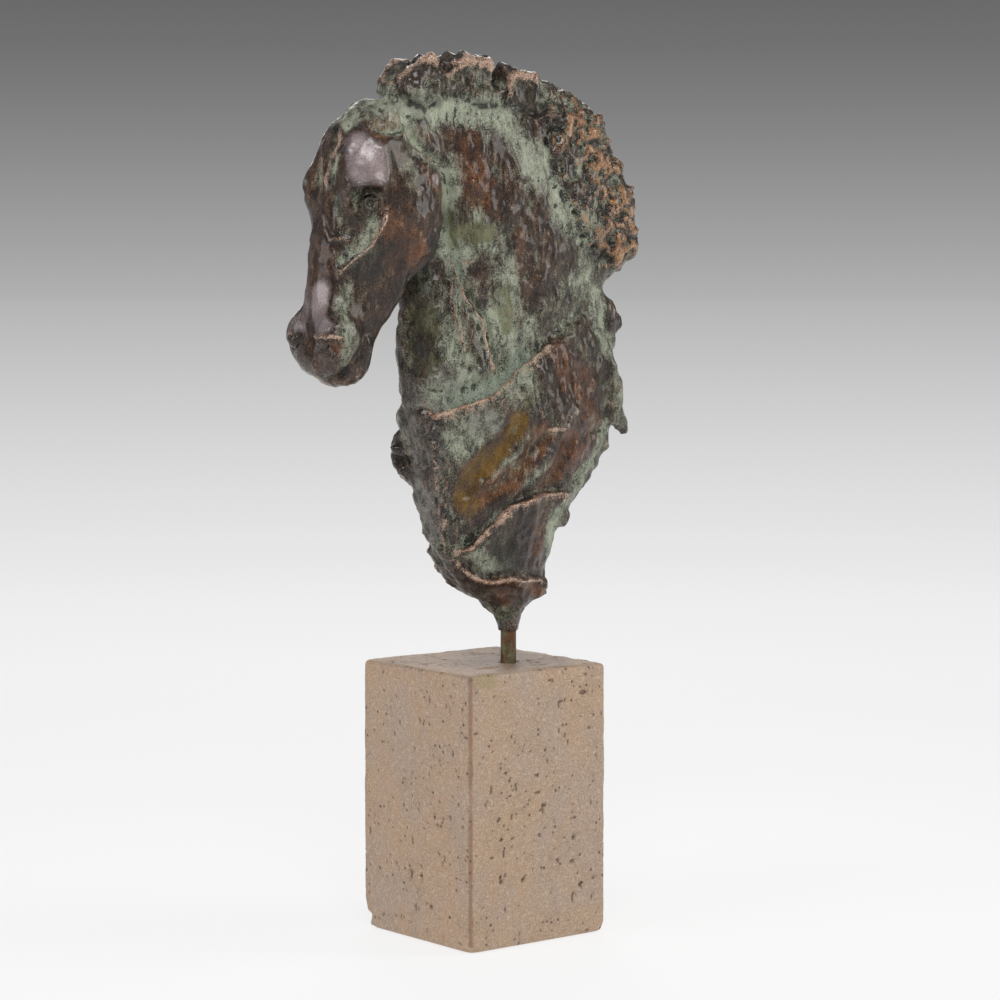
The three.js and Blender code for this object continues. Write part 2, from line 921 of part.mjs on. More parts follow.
// An upright round bar with its lower end at z, and bevelled ends where a bevel is given.
function uprightRod(radius, length, x, y, z, bevel = 0) {
  const outline = [new THREE.Vector2(0, 0)];
  if (bevel > 0) outline.push(new THREE.Vector2(radius - bevel, 0));
  outline.push(new THREE.Vector2(radius, bevel));
  outline.push(new THREE.Vector2(radius, length - bevel));
  if (bevel > 0) outline.push(new THREE.Vector2(radius - bevel, length));
  outline.push(new THREE.Vector2(0, length));
  return new THREE.LatheGeometry(outline, 32)
    .rotateX(Math.PI / 2)
    .translate(x, y, z);
}

const BLOCK_TOP = BLOCK_HEIGHT;
const BRONZE_FOOT = BLOCK_TOP + ROD_SHOWING;

// The cast bronze, with the socket for the rod in its collar
function horseHead() {
  const care = ([x, , z]) => (x < -23 && z > 43 ? FACE_CARE : 1);
  const cell = 100 / BRONZE_CELLS;
  const thick = skin(bronzeField, [-46, -13, -2.6], [31, 13, 102], cell);
  const cast = toGeometry(thin(relax(thick, 3), BRONZE_TRIANGLES, care))
    .scale(PERCENT, PERCENT, PERCENT)
    .translate(ROD_X, ROD_Y, BRONZE_FOOT);
  const below = new THREE.BoxGeometry(60, 60, 20).translate(
    ROD_X,
    ROD_Y,
    BRONZE_FOOT - 10,
  );
  const socket = uprightRod(
    ROD_DIAMETER / 2 + CLEARANCE,
    ROD_IN_BRONZE + CLEARANCE + 5,
    ROD_X,
    ROD_Y,
    BRONZE_FOOT - 5,
  );
  return solid(cast, true).subtract(solid(below)).subtract(solid(socket));
}

function supportRod() {
  const foot = BLOCK_TOP - ROD_IN_STONE;
  const length = ROD_IN_STONE + ROD_SHOWING + ROD_IN_BRONZE;
  const rod = uprightRod(
    ROD_DIAMETER / 2,
    length,
    ROD_X,
    ROD_Y,
    foot,
    ROD_BEVEL,
  );
  const slot = new THREE.BoxGeometry(SLOT_DEPTH * 2, SLOT_WIDTH, SLOT_HEIGHT)
    .translate(-ROD_DIAMETER / 2, 0, 0)
    .rotateZ(THREE.MathUtils.degToRad(51))
    .translate(ROD_X, ROD_Y, BLOCK_TOP + ROD_SHOWING * 0.45);
  return solid(rod).subtract(solid(slot));
}

// Chips on the block's edges: centre and radii, the centre given as shares of the half sides and in millimetres up
const CHIPS = [
  { at: [-1.02, 1.02, 9], size: [5, 5, 9] },
  { at: [-1.03, -1.03, 1], size: [7, 6, 5] },
  { at: [1.03, -1.02, 2], size: [5, 5, 4] },
  { at: [1.02, 1.03, 118], size: [5, 4, 7] },
];
// Holes in the stone, each on a side: place across as a share of the half side, height as a share, and radii
const PITS = [
  { side: "front", across: 0.62, up: 0.87, size: [1, 5] },
  { side: "front", across: 0.24, up: 0.84, size: [1.4, 4] },
  { side: "front", across: 0.1, up: 0.24, size: [1.6, 5] },
  { side: "front", across: 0.02, up: 0.12, size: [1.5, 4] },
  { side: "left", across: 0.66, up: 0.9, size: [2.2, 1.2] },
  { side: "left", across: 0.08, up: 0.5, size: [1.8, 1.1] },
  { side: "left", across: 0.5, up: 0.28, size: [3.4, 2] },
  { side: "right", across: -0.5, up: 0.7, size: [2.4, 1.4] },
  { side: "right", across: 0.3, up: 0.35, size: [1.6, 3] },
  { side: "back", across: -0.2, up: 0.6, size: [1.4, 3.4] },
  { side: "back", across: 0.45, up: 0.3, size: [2.4, 1.6] },
];
const SIDE_TURNS = { front: -90, left: 0, back: 90, right: 180 };

function hollow([rx, ry, rz]) {
  return new THREE.IcosahedronGeometry(1, 1).scale(rx, ry, rz);
}

// The travertine block, with its chipped edges, holes and the bore for the rod
function travertineBlock() {
  const box = new RoundedBoxGeometry(
    BLOCK_WIDTH,
    BLOCK_DEPTH,
    BLOCK_HEIGHT,
    2,
    BLOCK_EDGE,
  ).translate(0, 0, BLOCK_HEIGHT / 2);
  const bore = uprightRod(
    ROD_DIAMETER / 2 + CLEARANCE,
    ROD_IN_STONE + CLEARANCE + 5,
    ROD_X,
    ROD_Y,
    BLOCK_TOP - ROD_IN_STONE - CLEARANCE,
  );
  const chips = CHIPS.map(({ at: [x, y, z], size }) =>
    hollow(size).translate((x * BLOCK_WIDTH) / 2, (y * BLOCK_DEPTH) / 2, z),
  );
  const pits = PITS.map(({ side, across, up, size: [wide, tall] }) => {
    const isEnd = side === "front" || side === "back";
    const reach = isEnd ? BLOCK_WIDTH / 2 : BLOCK_DEPTH / 2;
    const half = isEnd ? BLOCK_DEPTH / 2 : BLOCK_WIDTH / 2;
    return hollow([wide, PIT_DEPTH, tall])
      .translate(across * half, -reach, up * BLOCK_HEIGHT)
      .rotateZ(THREE.MathUtils.degToRad(SIDE_TURNS[side]));
  });
  return [bore, ...chips, ...pits].reduce(
    (stone, tool) => stone.subtract(solid(tool)),
    solid(box),
  );
}

function named(name, body, color, roughness, metalness) {
  const material = new THREE.MeshStandardMaterial({
    color,
    roughness,
    metalness,
  });
  const mesh = new THREE.Mesh(fromSolid(body), material);
  mesh.name = name;
  return mesh;
}

const sculpture = new THREE.Group();
sculpture.name = "horse_head_sculpture";
sculpture.add(named("horse_head", horseHead(), 0x5a4a38, 0.45, 0.9));
sculpture.add(named("support_rod", supportRod(), 0x6e5a3c, 0.5, 0.9));
sculpture.add(named("travertine_block", travertineBlock(), 0xb9a493, 0.7, 0));

export default sculpture;
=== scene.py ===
"""A bronze horse's head and neck, cast as a torn fragment, on a short rod in a travertine block.

Places on the bronze are given in hundredths of its height, measured from the foot of its collar on the rod's axis:
x towards the mane, y towards the horse's right side, z up. Heights and widths of the relief are in millimetres.
"""

import math

import bmesh
import bpy
import numpy as np
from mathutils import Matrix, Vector


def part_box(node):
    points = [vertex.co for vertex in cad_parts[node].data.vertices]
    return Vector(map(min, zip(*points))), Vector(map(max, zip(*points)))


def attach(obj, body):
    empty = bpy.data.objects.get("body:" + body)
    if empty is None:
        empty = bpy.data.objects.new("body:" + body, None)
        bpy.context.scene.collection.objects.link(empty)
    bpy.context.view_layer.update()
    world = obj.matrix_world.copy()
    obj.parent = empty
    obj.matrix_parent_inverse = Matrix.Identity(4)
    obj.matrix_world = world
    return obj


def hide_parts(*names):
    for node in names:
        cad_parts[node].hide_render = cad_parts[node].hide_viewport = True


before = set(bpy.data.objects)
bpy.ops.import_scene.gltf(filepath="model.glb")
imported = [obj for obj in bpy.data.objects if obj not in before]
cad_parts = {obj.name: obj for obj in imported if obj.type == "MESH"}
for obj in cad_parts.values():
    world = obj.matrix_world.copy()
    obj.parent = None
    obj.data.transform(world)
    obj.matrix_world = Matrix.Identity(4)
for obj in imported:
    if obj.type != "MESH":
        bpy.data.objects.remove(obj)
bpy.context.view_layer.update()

MM = 0.001
HUNDREDTH = 3.28 * MM
BRONZE_GRID = 1.45 * MM
STONE_GRID = 1.15 * MM
ROD_GRID = 0.5 * MM
FAR_SIDE_SHARE = 0.6

rod_low, rod_high = (np.array(corner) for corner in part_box("support_rod"))
bronze_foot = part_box("horse_head")[0][2]
ORIGIN = np.array([*(rod_low + rod_high)[:2] / 2, bronze_foot])


# Skins: fine, even copies of the solids whose points are moved in numpy

class Skin:
    """The points of a piece's mesh, with what is painted on them."""

    def __init__(self, piece):
        self.piece = piece
        self.count = len(piece.data.vertices)
        edges = np.empty(len(piece.data.edges) * 2, np.int32)
        piece.data.edges.foreach_get("vertices", edges)
        self.edges = edges.reshape(-1, 2)
        self.degree = np.bincount(edges, minlength=self.count)
        self.points = self.read()
        self.normals = self.facing()

    def read(self):
        flat = np.empty(self.count * 3)
        self.piece.data.vertices.foreach_get("co", flat)
        return flat.reshape(-1, 3)

    def facing(self):
        flat = np.empty(self.count * 3)
        self.piece.data.vertex_normals.foreach_get("vector", flat)
        return flat.reshape(-1, 3)

    def move(self, points):
        self.points = points
        self.piece.data.vertices.foreach_set("co", points.ravel())
        self.piece.data.update()
        self.normals = self.facing()

    def spread(self, values, rounds, pull=0.5):
        """Evens values out between neighbouring points."""
        a, b = self.edges.T
        columns = values.reshape(self.count, -1).T
        for _ in range(rounds):
            means = [
                (np.bincount(a, column[b], self.count) + np.bincount(b, column[a], self.count)) / self.degree
                for column in columns
            ]
            columns = columns + pull * (np.array(means) - columns)
        return columns.T.reshape(values.shape)

    def relax(self, rounds):
        """Smooths the skin without shrinking it."""
        points = self.points
        for _ in range(rounds):
            points = self.spread(points, 1, 0.6)
            points = self.spread(points, 1, -0.62)
        self.move(points)

    def standing_out(self, rounds):
        """How far each point stands out from the skin around it."""
        level = self.spread(self.points, rounds)
        return ((self.points - level) * self.normals).sum(1)

    def paint(self, name, values):
        attribute = self.piece.data.attributes.new(name, "FLOAT", "POINT")
        attribute.data.foreach_set("value", np.clip(values, 0, 1).astype(np.float32))


def refine(mesh, spots):
    """Halves the grid along a few paths, each with a reach in millimetres."""
    bm = bmesh.new()
    bm.from_mesh(mesh)
    bm.verts.ensure_lookup_table()
    places = (np.array([v.co for v in bm.verts]) - ORIGIN) / HUNDREDTH
    close = np.zeros(len(places), bool)
    for path, reach in spots:
        close |= nearest(path, places)[0] * HUNDREDTH / MM < reach
    edges = [edge for edge in bm.edges if close[edge.verts[0].index] and close[edge.verts[1].index]]
    bmesh.ops.subdivide_edges(bm, edges=edges, cuts=1, use_grid_fill=True)
    bm.to_mesh(mesh)
    bm.free()
    mesh.shade_smooth()


def dense_copy(node, name, grid):
    """A fine, even skin over a solid, as a piece of its own."""
    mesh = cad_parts[node].data.copy()
    bm = bmesh.new()
    bm.from_mesh(mesh)
    bmesh.ops.remove_doubles(bm, verts=bm.verts, dist=1e-6)
    bm.to_mesh(mesh)
    bm.free()
    piece = bpy.data.objects.new(name, mesh)
    bpy.context.scene.collection.objects.link(piece)
    skin = piece.modifiers.new("even skin", "REMESH")
    skin.mode = "VOXEL"
    skin.voxel_size = grid
    depsgraph = bpy.context.evaluated_depsgraph_get()
    piece.data = bpy.data.meshes.new_from_object(piece.evaluated_get(depsgraph))
    piece.modifiers.clear()
    piece.data.name = name
    piece.data.materials.clear()
    piece.data.shade_smooth()
    return piece


# Noise and distances

LATTICE = np.random.default_rng(7).random(1 << 14)


def noise(points, cell, seed=0):
    """Smooth noise from 0 to 1; cell is the size of its lumps, one number or one for each axis."""
    place = points / np.asarray(cell) + 19.7 * seed
    corner = np.floor(place).astype(np.int64)
    share = place - corner
    share = share * share * (3 - 2 * share)
    total = 0
    for dx in (0, 1):
        for dy in (0, 1):
            for dz in (0, 1):
                x, y, z = (corner + (dx, dy, dz)).T
                mixed = (x * 73856093) ^ (y * 19349663) ^ (z * 83492791) ^ (seed * 2654435)
                weight = np.prod([s if d else 1 - s for s, d in zip(share.T, (dx, dy, dz))], axis=0)
                total = total + weight * LATTICE[mixed & 0x3FFF]
    return total


def rough(points, cell, seed=0, octaves=3):
    """Noise of several sizes, from -1 to 1."""
    layers = [(noise(points, np.asarray(cell) / 2**i, seed + i) - 0.5) / 1.7**i for i in range(octaves)]
    return 2 * np.sum(layers, axis=0)


def crinkled(points, cell, seed=0, octaves=3):
    """Noise with sharp crests, from 0 to 1."""
    total = 0
    size = 0
    for i in range(octaves):
        layer = 1 - np.abs(2 * noise(points, np.asarray(cell) / 2**i, seed + i) - 1)
        total = total + layer**2 / 2**i
        size += 1 / 2**i
    return total / size


def step(values, low, high):
    t = np.clip((values - low) / (high - low), 0, 1)
    return t * t * (3 - 2 * t)


def nearest(path, places, normals=None):
    """Distance of each place from a path, and how far along the path it is.

    With the skin's normals, a path that runs a little above or below the skin counts as lying on it.
    """
    path = np.asarray(path, float).reshape(-1, 3)
    best = np.full(len(places), np.inf)
    along = np.full(len(places), 0.5)
    ways = np.diff(path, axis=0) if len(path) > 1 else np.array([[1e-6, 0, 0]])
    lengths = np.linalg.norm(ways, axis=1)
    walked = np.concatenate([[0], np.cumsum(lengths)]) / lengths.sum()
    for i, (start, way) in enumerate(zip(path, ways)):
        share = np.clip((places - start) @ way / (way @ way), 0, 1)
        away = places - start - share[:, None] * way
        if normals is not None:
            away = away - 0.7 * (away * normals).sum(1)[:, None] * normals
        distance = np.linalg.norm(away, axis=1)
        closer = distance < best
        best[closer] = distance[closer]
        if len(path) > 1:
            along[closer] = (walked[i] + share * (walked[i + 1] - walked[i]))[closer]
    return best, along


def sides(path, both=True):
    """The path on the near side and on the far side, with the share of its height on each."""
    path = np.asarray(path, float).reshape(-1, 3)
    yield path, 1
    if both and np.abs(path[:, 1]).max() > 1:
        yield path * (1, -1, 1), FAR_SIDE_SHARE


# Relief of the bronze

POLL_CRUST = [(-35, -0.6, 88), (-32.8, -0.6, 89.8), (-30.2, -0.6, 91), (-28, -0.8, 91.8)]
CHEEK_GROOVE = [
    (-26.8, -6, 86.3), (-23.8, -5.8, 83.5), (-20.6, -5.7, 81.4), (-18, -5.2, 79), (-17.1, -5.1, 75.6),
    (-17.2, -5, 72.3), (-16.9, -4.8, 69.3), (-15.9, -4.9, 66.8), (-14.6, -5.5, 64.7),
]
NECK_GROOVE = [
    (-15.9, -4.8, 66), (-14.8, -5.1, 61.3), (-13.3, -5.6, 57.9), (-10.3, -6.3, 54.5),
    (-9.6, -6.5, 51.1), (-9.4, -7.2, 47.3), (-6.7, -6.6, 45.1),
]
CHEEK_EDGE = [(-28.1, -6.7, 86), (-24.3, -6.5, 82.6), (-19.3, -5.5, 79.8), (-18, -5, 76.5), (-18, -4.8, 73)]
NECK_RIDGE = [(-17.2, -5.1, 62.2), (-17.2, -5.5, 58), (-16.3, -6, 53.8), (-14.8, -6.5, 49.1)]
FACIAL_CREST = [(-32.4, -8.1, 73), (-33.1, -7.7, 70.5), (-34.6, -6.3, 67.2), (-37.4, -5.2, 64.8), (-39.7, -3.8, 62.1)]
MIDLINE = [(-35.2, 0, 87), (-37.8, -2.7, 84.1), (-38.9, -1.1, 80.8), (-39.2, -0.4, 77.9), (-39.4, -0.8, 76.3)]
PLANE_EDGES = [
    [(-37, -4.2, 84.5), (-37.5, -4.2, 82.8), (-38.4, -4.8, 80.3), (-39.3, -6.3, 77.6)],
    [(-33.3, -7.4, 84), (-32.6, -7.9, 81.6), (-32.2, -7.9, 79.1), (-32.6, -8.1, 76.9)],
]
BROW = [(-39.4, -6.6, 77.2), (-38.7, -7.6, 77.1), (-37.3, -8.4, 77.1), (-35.4, -8.6, 77.2), (-32.8, -8.1, 77)]
EYE = (-35.9, -8.4, 74)
NOSE_RIDGE = [(-40, -0.5, 72.6), (-40.4, -1.8, 69.7), (-40.2, -2.8, 68.1), (-38.8, -4.4, 68.3), (-37.6, -5.4, 67.9)]
NOSE_RIDGE_LOW = [(-40, -3.5, 66.2), (-39.9, -3.7, 64), (-39.5, -4.2, 62.7)]
EAR_BACK = [(-34.1, -5.4, 86.7), (-32, -5, 88), (-30.5, -5.7, 89.3), (-29, -5.9, 90.3)]
EAR_FOOT = [(-34, -5.6, 86.3), (-32.3, -6.7, 85.8), (-29.9, -6.9, 85.6), (-27.8, -6.6, 86)]
EAR_FACE = [(-31.5, -6, 87.2)]
NOSE_FLAP = [(-42.1, -1.1, 52.4), (-43.3, -4.9, 52.4), (-42.5, -6.5, 52.3), (-40.7, -7.5, 52)]
NOSE_LUMPS = [(-40.8, -2.9, 51), (-41.5, -6.9, 51.1), (-42.3, -3.7, 49.2), (-41.8, -5.8, 48.8), (-41, -1, 47.6)]
NOSTRILS = [(-42.3, -4.3, 51), (-42.3, 3.7, 51)]
FAR_BROW = (-39.5, 6.2, 77)
FIRST_TUFT_END = (-26, 3, 94.2)
NOSE_MIDDLE = (-41, -1.5, 50.5)
MOUTH = [(-38.7, -2.9, 45), (-38.4, -4.4, 46.6), (-38, -6, 48.4), (-37, -6.6, 50.4), (-36.2, -6.4, 52.4)]
CHIN_EDGE = [(-36.8, -4.2, 45.4), (-34.6, -4.8, 47.4), (-33.8, -5, 49.9), (-34.4, -4.9, 52.4)]
CHEST_KNOBS = [(-21.4, 4.2, 32.6), (-20.7, 3.2, 28.9)]
KNOB_GAP = [(-22, 4.6, 30.9), (-20.8, 3.4, 30.7), (-19.6, 2, 30.6)]
SHOULDER_CREST = [
    (-20.1, -3.1, 40.2), (-20.2, -4.9, 38.3), (-17.6, -6, 38.9), (-14, -7.3, 39.9), (-10.6, -8, 41),
    (-6.7, -8.1, 43.3), (-4.6, -7.7, 45.1), (-2.2, -8.5, 46.7), (0.8, -8.1, 48.9), (3.5, -8.1, 50.4),
]
SHOULDER_HOLLOW = [(-18, -5.4, 42.4), (-14.2, -6.1, 42.7), (-12.1, -6.7, 43.4), (-8, -7, 45), (-5, -7.4, 48), (-1, -7.6, 51)]
SHOULDER_HOLES = [(-12.5, -6.6, 43), (-7.4, -7.6, 43.9), (-17, -5.2, 40.9)]
SHOULDER_LUMPS = [(-20.4, -4.1, 44.6), (-16.3, -5.9, 45), (-11.4, -7.3, 45.6), (-21.2, -3.4, 38.8)]
CHEST_CREST = [
    (-14.5, -4.2, 14.8), (-12.6, -5.7, 15.8), (-10.9, -6.8, 18), (-9.4, -7.6, 19.7), (-6.5, -8.4, 22.4),
    (-3.2, -8.7, 23.1), (-0.1, -8.7, 24), (6.4, -7.2, 24.2),
]
FOOT_CREST = [(-14.4, -3.4, 13.2), (-11.1, -4.2, 10.3), (-8.1, -4.9, 9.4), (-4.4, -5.8, 9.8), (0.7, -5.1, 9.4), (4.6, -3.6, 8.8)]
EDGE_CREST = [(2.5, -7.7, 21.3), (5.9, -7.5, 23.8), (9.7, -6.3, 24.6), (14.8, -4.6, 27.7)]
SMALL_RIDGES = [
    [(-1.5, -9.6, 39.9), (0.1, -9.6, 37.6)],
    [(1, -9, 35.5), (5.3, -9.1, 35.7), (6.5, -8.9, 37.7), (8.8, -8.3, 38.8)],
    [(-14.7, -5.4, 64.1), (-13, -6.4, 64.5)],
]
FRONT_RIDGES = [
    [(-17.6, -4.8, 28.2), (-17.1, -3.9, 23.7), (-16.7, -3.1, 19.5)],
    [(-19.6, -4.1, 32), (-16.8, -2.7, 18.8), (-16, -2.2, 15.9)],
    [(-21.2, -2, 40.2), (-19.8, -4, 36), (-19.5, -4, 31.3)],
]
FLAP_RIDGE = [(16.6, -4.4, 58.9), (16.8, -4.6, 53), (19.8, -3.6, 48.4), (20.8, -4.6, 45.2), (22.2, -4, 40.4), (22.2, -4.1, 35.8)]
FLUTES = [
    [(-5.4, -8.9, 37.1), (-6.7, -8.6, 34.7), (-8.9, -8.1, 32.4), (-11.7, -7.2, 29.7), (-13.6, -6.3, 27.4), (-14.3, -5.6, 23.6)],
    [(0.1, -9, 34.8), (-1.5, -8.7, 32.1), (-3.9, -8.5, 29.5), (-7, -8, 26.8), (-9.9, -7.2, 24.5)],
    [(6.7, -8.1, 33.2), (4.4, -8.2, 29.8), (1.9, -8, 26.1)],
]
FLUTE_BETWEEN = [(-3, -9.1, 38.4), (-4.4, -9, 33), (-7.2, -8.1, 29.3), (-10.6, -7.5, 26.2)]
BOTTOM_CREASE = [(-7.2, -4.4, 8), (-4.7, -5.2, 8.2), (-0.8, -4.7, 7.4)]
TUFT_GAPS = [
    [(-16.2, -3.6, 98), (-17.6, -4.7, 94.9), (-18, -4.9, 91.5)],
    [(-5, -3.6, 97.6), (-4.6, -4.7, 94.6), (-4, -4.9, 92.4)],
    [(4, -3.6, 96), (4, -4.8, 93), (3.6, -4.9, 90.8)],
]
TUFT_RIMS = [
    [(-26.2, -2, 94.8), (-24.6, -3, 96.4), (-22.7, -3, 97.6), (-20.6, -3.4, 98.3), (-19.2, -4.2, 98)],
    [(-16.3, -4.4, 95.6), (-15.4, -4.5, 97.4), (-12, -4.4, 98.2), (-9.5, -4.7, 97.9), (-6.4, -3.8, 97.3)],
    [(-3.4, -4.9, 93.6), (-3.6, -4.8, 95.3), (-1.9, -4.8, 96.5), (1.2, -4.4, 96.4), (3, -4, 95.6)],
]
TUFT_FEET = [
    [(-26, -3.6, 92.4), (-24.5, -4.1, 91), (-22, -4.8, 90), (-18.8, -4.8, 90.8)],
    [(-16, -4.7, 92.6), (-13, -5, 91.4), (-9.7, -4.9, 90.8), (-5.1, -4.6, 91.2)],
    [(-3.6, -4.9, 91.6), (-1, -5, 90.4), (3.2, -4.7, 89.8)],
]
CRACKS = [
    [(-17, -3.9, 90), (-16.6, -4.4, 87.4)],
    [(-15, -4.5, 90.4), (-15.7, -4.7, 86.8)],
    [(-14.3, -4.5, 89.6), (-14.3, -5, 87.4)],
    [(-10.8, -4.6, 90), (-10.2, -5, 86.6)],
    [(0.4, -5.6, 89), (1.2, -6, 84.4)],
]
MANE_EDGE = [
    (-1.4, -4.8, 93), (3.2, -4.8, 90.9), (3.8, -5.9, 86.1), (3.1, -6.8, 81), (4.3, -7.5, 75.8),
    (5.9, -7.6, 69.8), (12.1, -6.2, 66.8), (17.2, -4.4, 63.8),
]
MANE_INNER = [(61, 21), (65.5, 15), (69, 9.4), (76, 5.2), (83, 3.8), (89.5, 2.6), (91.5, -1)]

# Each stroke is a path, its height and its width; a height below nothing cuts a furrow
STROKES = [
    (POLL_CRUST, 2, 4.5),
    ([(-28.4, -0.8, 91.9), (-27, -0.8, 92.4), (-26.3, -0.6, 93.4)], 3.5, 3.2),
    (CHEEK_GROOVE, -2.4, 2),
    (CHEEK_EDGE, 0.9, 1.6),
    (NECK_GROOVE, -2.2, 1.8),
    ([(x - 0.9, y, z) for x, y, z in NECK_GROOVE], 2.2, 1.2),
    (NECK_RIDGE, 2.4, 1.2),
    (FACIAL_CREST, 2.2, 1.3),
    ([(x - 1, y, z + 1.2) for x, y, z in FACIAL_CREST], -1, 2.4),
    (MIDLINE, 1.1, 1.3),
    ([(x, y - 1.2, z) for x, y, z in MIDLINE], -0.9, 2),
    *[(edge, 1, 2) for edge in PLANE_EDGES],
    (NOSE_RIDGE, 1.2, 1.1),
    ([(x, y, z + 0.9) for x, y, z in NOSE_RIDGE], -0.8, 1.8),
    (NOSE_RIDGE_LOW, 1, 1.1),
    (EAR_BACK, 1.8, 1.8),
    (EAR_FOOT, -2.4, 1.8),
    (EAR_FACE, 1.4, 4),
    (MOUTH, -2.8, 1.6),
    (CHIN_EDGE, 0.8, 2.4),
    (SHOULDER_HOLLOW, -2, 5),
    ([(x, y, z + 1) for x, y, z in SHOULDER_CREST], -1.4, 2),
    ([(x, y, z + 1.2) for x, y, z in CHEST_CREST], -1.3, 2.4),
    ([(x, y, z + 1) for x, y, z in FOOT_CREST], -1, 2),
    (EDGE_CREST, 1.2, 1.6),
    (FLAP_RIDGE, 1, 1.6),
    ([(x + 1.3, y, z) for x, y, z in FLAP_RIDGE], -1.3, 2.2),
    (FLUTE_BETWEEN, 1.2, 3),
    (BOTTOM_CREASE, -1.4, 2),
    (MANE_EDGE, -1, 2.6),
    *[([hole], -1.3, 2) for hole in SHOULDER_HOLES],
    *[([lump], 1.4, 5) for lump in SHOULDER_LUMPS],
    *[(ridge, 1.4, 1.1) for ridge in SMALL_RIDGES + FRONT_RIDGES],
    *[(flute, -1.3, 5.4) for flute in FLUTES],
    *[(gap, -3.2, 3) for gap in TUFT_GAPS],
    *[(rim, 1.8, 2.6) for rim in TUFT_RIMS],
    *[(foot, -2.6, 2.6) for foot in TUFT_FEET],
    *[(crack, -1.3, 1.2) for crack in CRACKS],
]
# Strokes on the near side alone
NEAR_STROKES = [
    (BROW, 1.8, 1.6),
    ([(x, y, z - 1.1) for x, y, z in BROW], -2.4, 1.9),
    (NOSE_FLAP, 1.3, 1.3),
    ([(x, y, z - 0.9) for x, y, z in NOSE_FLAP], -1, 1.5),
    *[([lump], 1.8, 2) for lump in NOSE_LUMPS],
    *[([middle], 5.5, 3.6) for middle in NOSTRILS],
    ([FAR_BROW], -3, 5),
    ([FIRST_TUFT_END], -3, 5),
    *[([knob], 4, 2.6) for knob in CHEST_KNOBS],
    (KNOB_GAP, -4, 1.8),
]
# Where the skin is twice as fine, and how far from each path, in millimetres
FINE_SPOTS = [
    (EYE, 13),
    (np.multiply(EYE, (1, -1, 1)), 11),
    ((-41.5, -3, 50.5), 17),
    (SHOULDER_CREST, 4.5),
    (CHEST_CREST, 4),
    (FOOT_CREST, 3.5),
    (NECK_RIDGE, 3),
    (NECK_GROOVE, 4),
    (CHEEK_GROOVE, 4),
    (FACIAL_CREST, 3.5),
]
# Crumbled crests: a path, its height and its width
CRUMBLED = [
    (SHOULDER_CREST, 3.8, 1.9),
    (CHEST_CREST, 3, 1.6),
    (FOOT_CREST, 2.6, 1.5),
]
# Rings round the eye: distance from its middle, height and width, all in millimetres
EYE_RINGS = [(9.2, -1.3, 2.4), (6.5, 2, 1.1), (4.9, -2, 0.9), (3.6, 1.6, 0.8), (2.3, -1.2, 0.8), (0, 1.2, 1.3)]
EYE_ACROSS = np.array((0.93, -0.37, 0))
# Crusted places: a path and how far the crust reaches, in millimetres
CRUSTS = [
    ([(-35, -1.5, 88), (-32, -3, 89.6), (-27, -3.5, 90.4), (-23, -4.4, 90)], 15),
    ([(-20.5, -3.6, 43.6), (-17, -5.4, 45), (-13, -7, 46)], 7),
    ([(-21, -3.4, 38), (-19.6, -3.8, 30), (-17, -3.6, 20), (-14, -3.4, 12)], 11),
    ([(18.3, -4.4, 35.7), (14.3, -5.1, 28.5), (9.5, -5.7, 25.5), (6, -6, 21)], 8),
]


def mane_shares(places):
    """How far each point belongs to the rough band of the mane, and to the three tufts before it."""
    heights, inner = zip(*MANE_INNER)
    behind = places[:, 0] - np.interp(places[:, 2], heights, inner)
    band = step(behind, -0.5, 0.9) * step(places[:, 2], 61, 64) * step(places[:, 0], 1.5, 4.5)
    tufts = step(places[:, 2], 90.6, 92.4) * step(places[:, 0], -27.5, -26) * (1 - band)
    return band, tufts


def stroke_height(places, normals, path, height, width, crumble=0, both=True):
    total = np.zeros(len(places))
    reach = 3 * width * MM / HUNDREDTH + 0.5
    for line, share in sides(path, both):
        near = ((places > line.min(0) - reach) & (places < line.max(0) + reach)).all(1)
        if not near.any():
            continue
        distance, along = nearest(line, places[near], normals[near])
        ends = 1 if len(line) == 1 else step(along, -0.02, 0.1) * step(1 - along, -0.02, 0.1)
        fall = np.exp(-((distance * HUNDREDTH / MM / width) ** 2))
        worn = 1 - crumble + 2 * crumble * noise(places[near], 1.4, 5)
        total[near] += share * height * ends * fall * worn
    return total


def eye_height(places):
    """The lids, the ball and the pupil of both eyes."""
    total = np.zeros(len(places))
    for side in (1, -1):
        flip = (1, side, 1)
        away = (places - np.multiply(EYE, flip)) * HUNDREDTH / MM
        along = away @ (EYE_ACROSS * flip)
        up = away[:, 2]
        out = away @ (np.array((-0.37, -0.93, 0)) * flip)
        radius = np.hypot(along, up * 1.12)
        facing = step(9 - np.abs(out), 0, 2)
        for ring, height, width in EYE_RINGS:
            lidded = 1 + 0.35 * np.clip(up / 5, -1, 1)
            total += facing * lidded * height * np.exp(-(((radius - ring) / width) ** 2))
    return total


def knobs_and_pits(places):
    """Small knobs and pits strewn over a rough surface, from -1 to 1."""
    total = np.zeros(len(places))
    for size, seed in ((1.1, 31), (1.7, 37), (2.6, 41)):
        lumps = noise(places, size, seed)
        total += step(lumps, 0.66, 0.9) - 1.3 * step(1 - lumps, 0.62, 0.86)
    return total


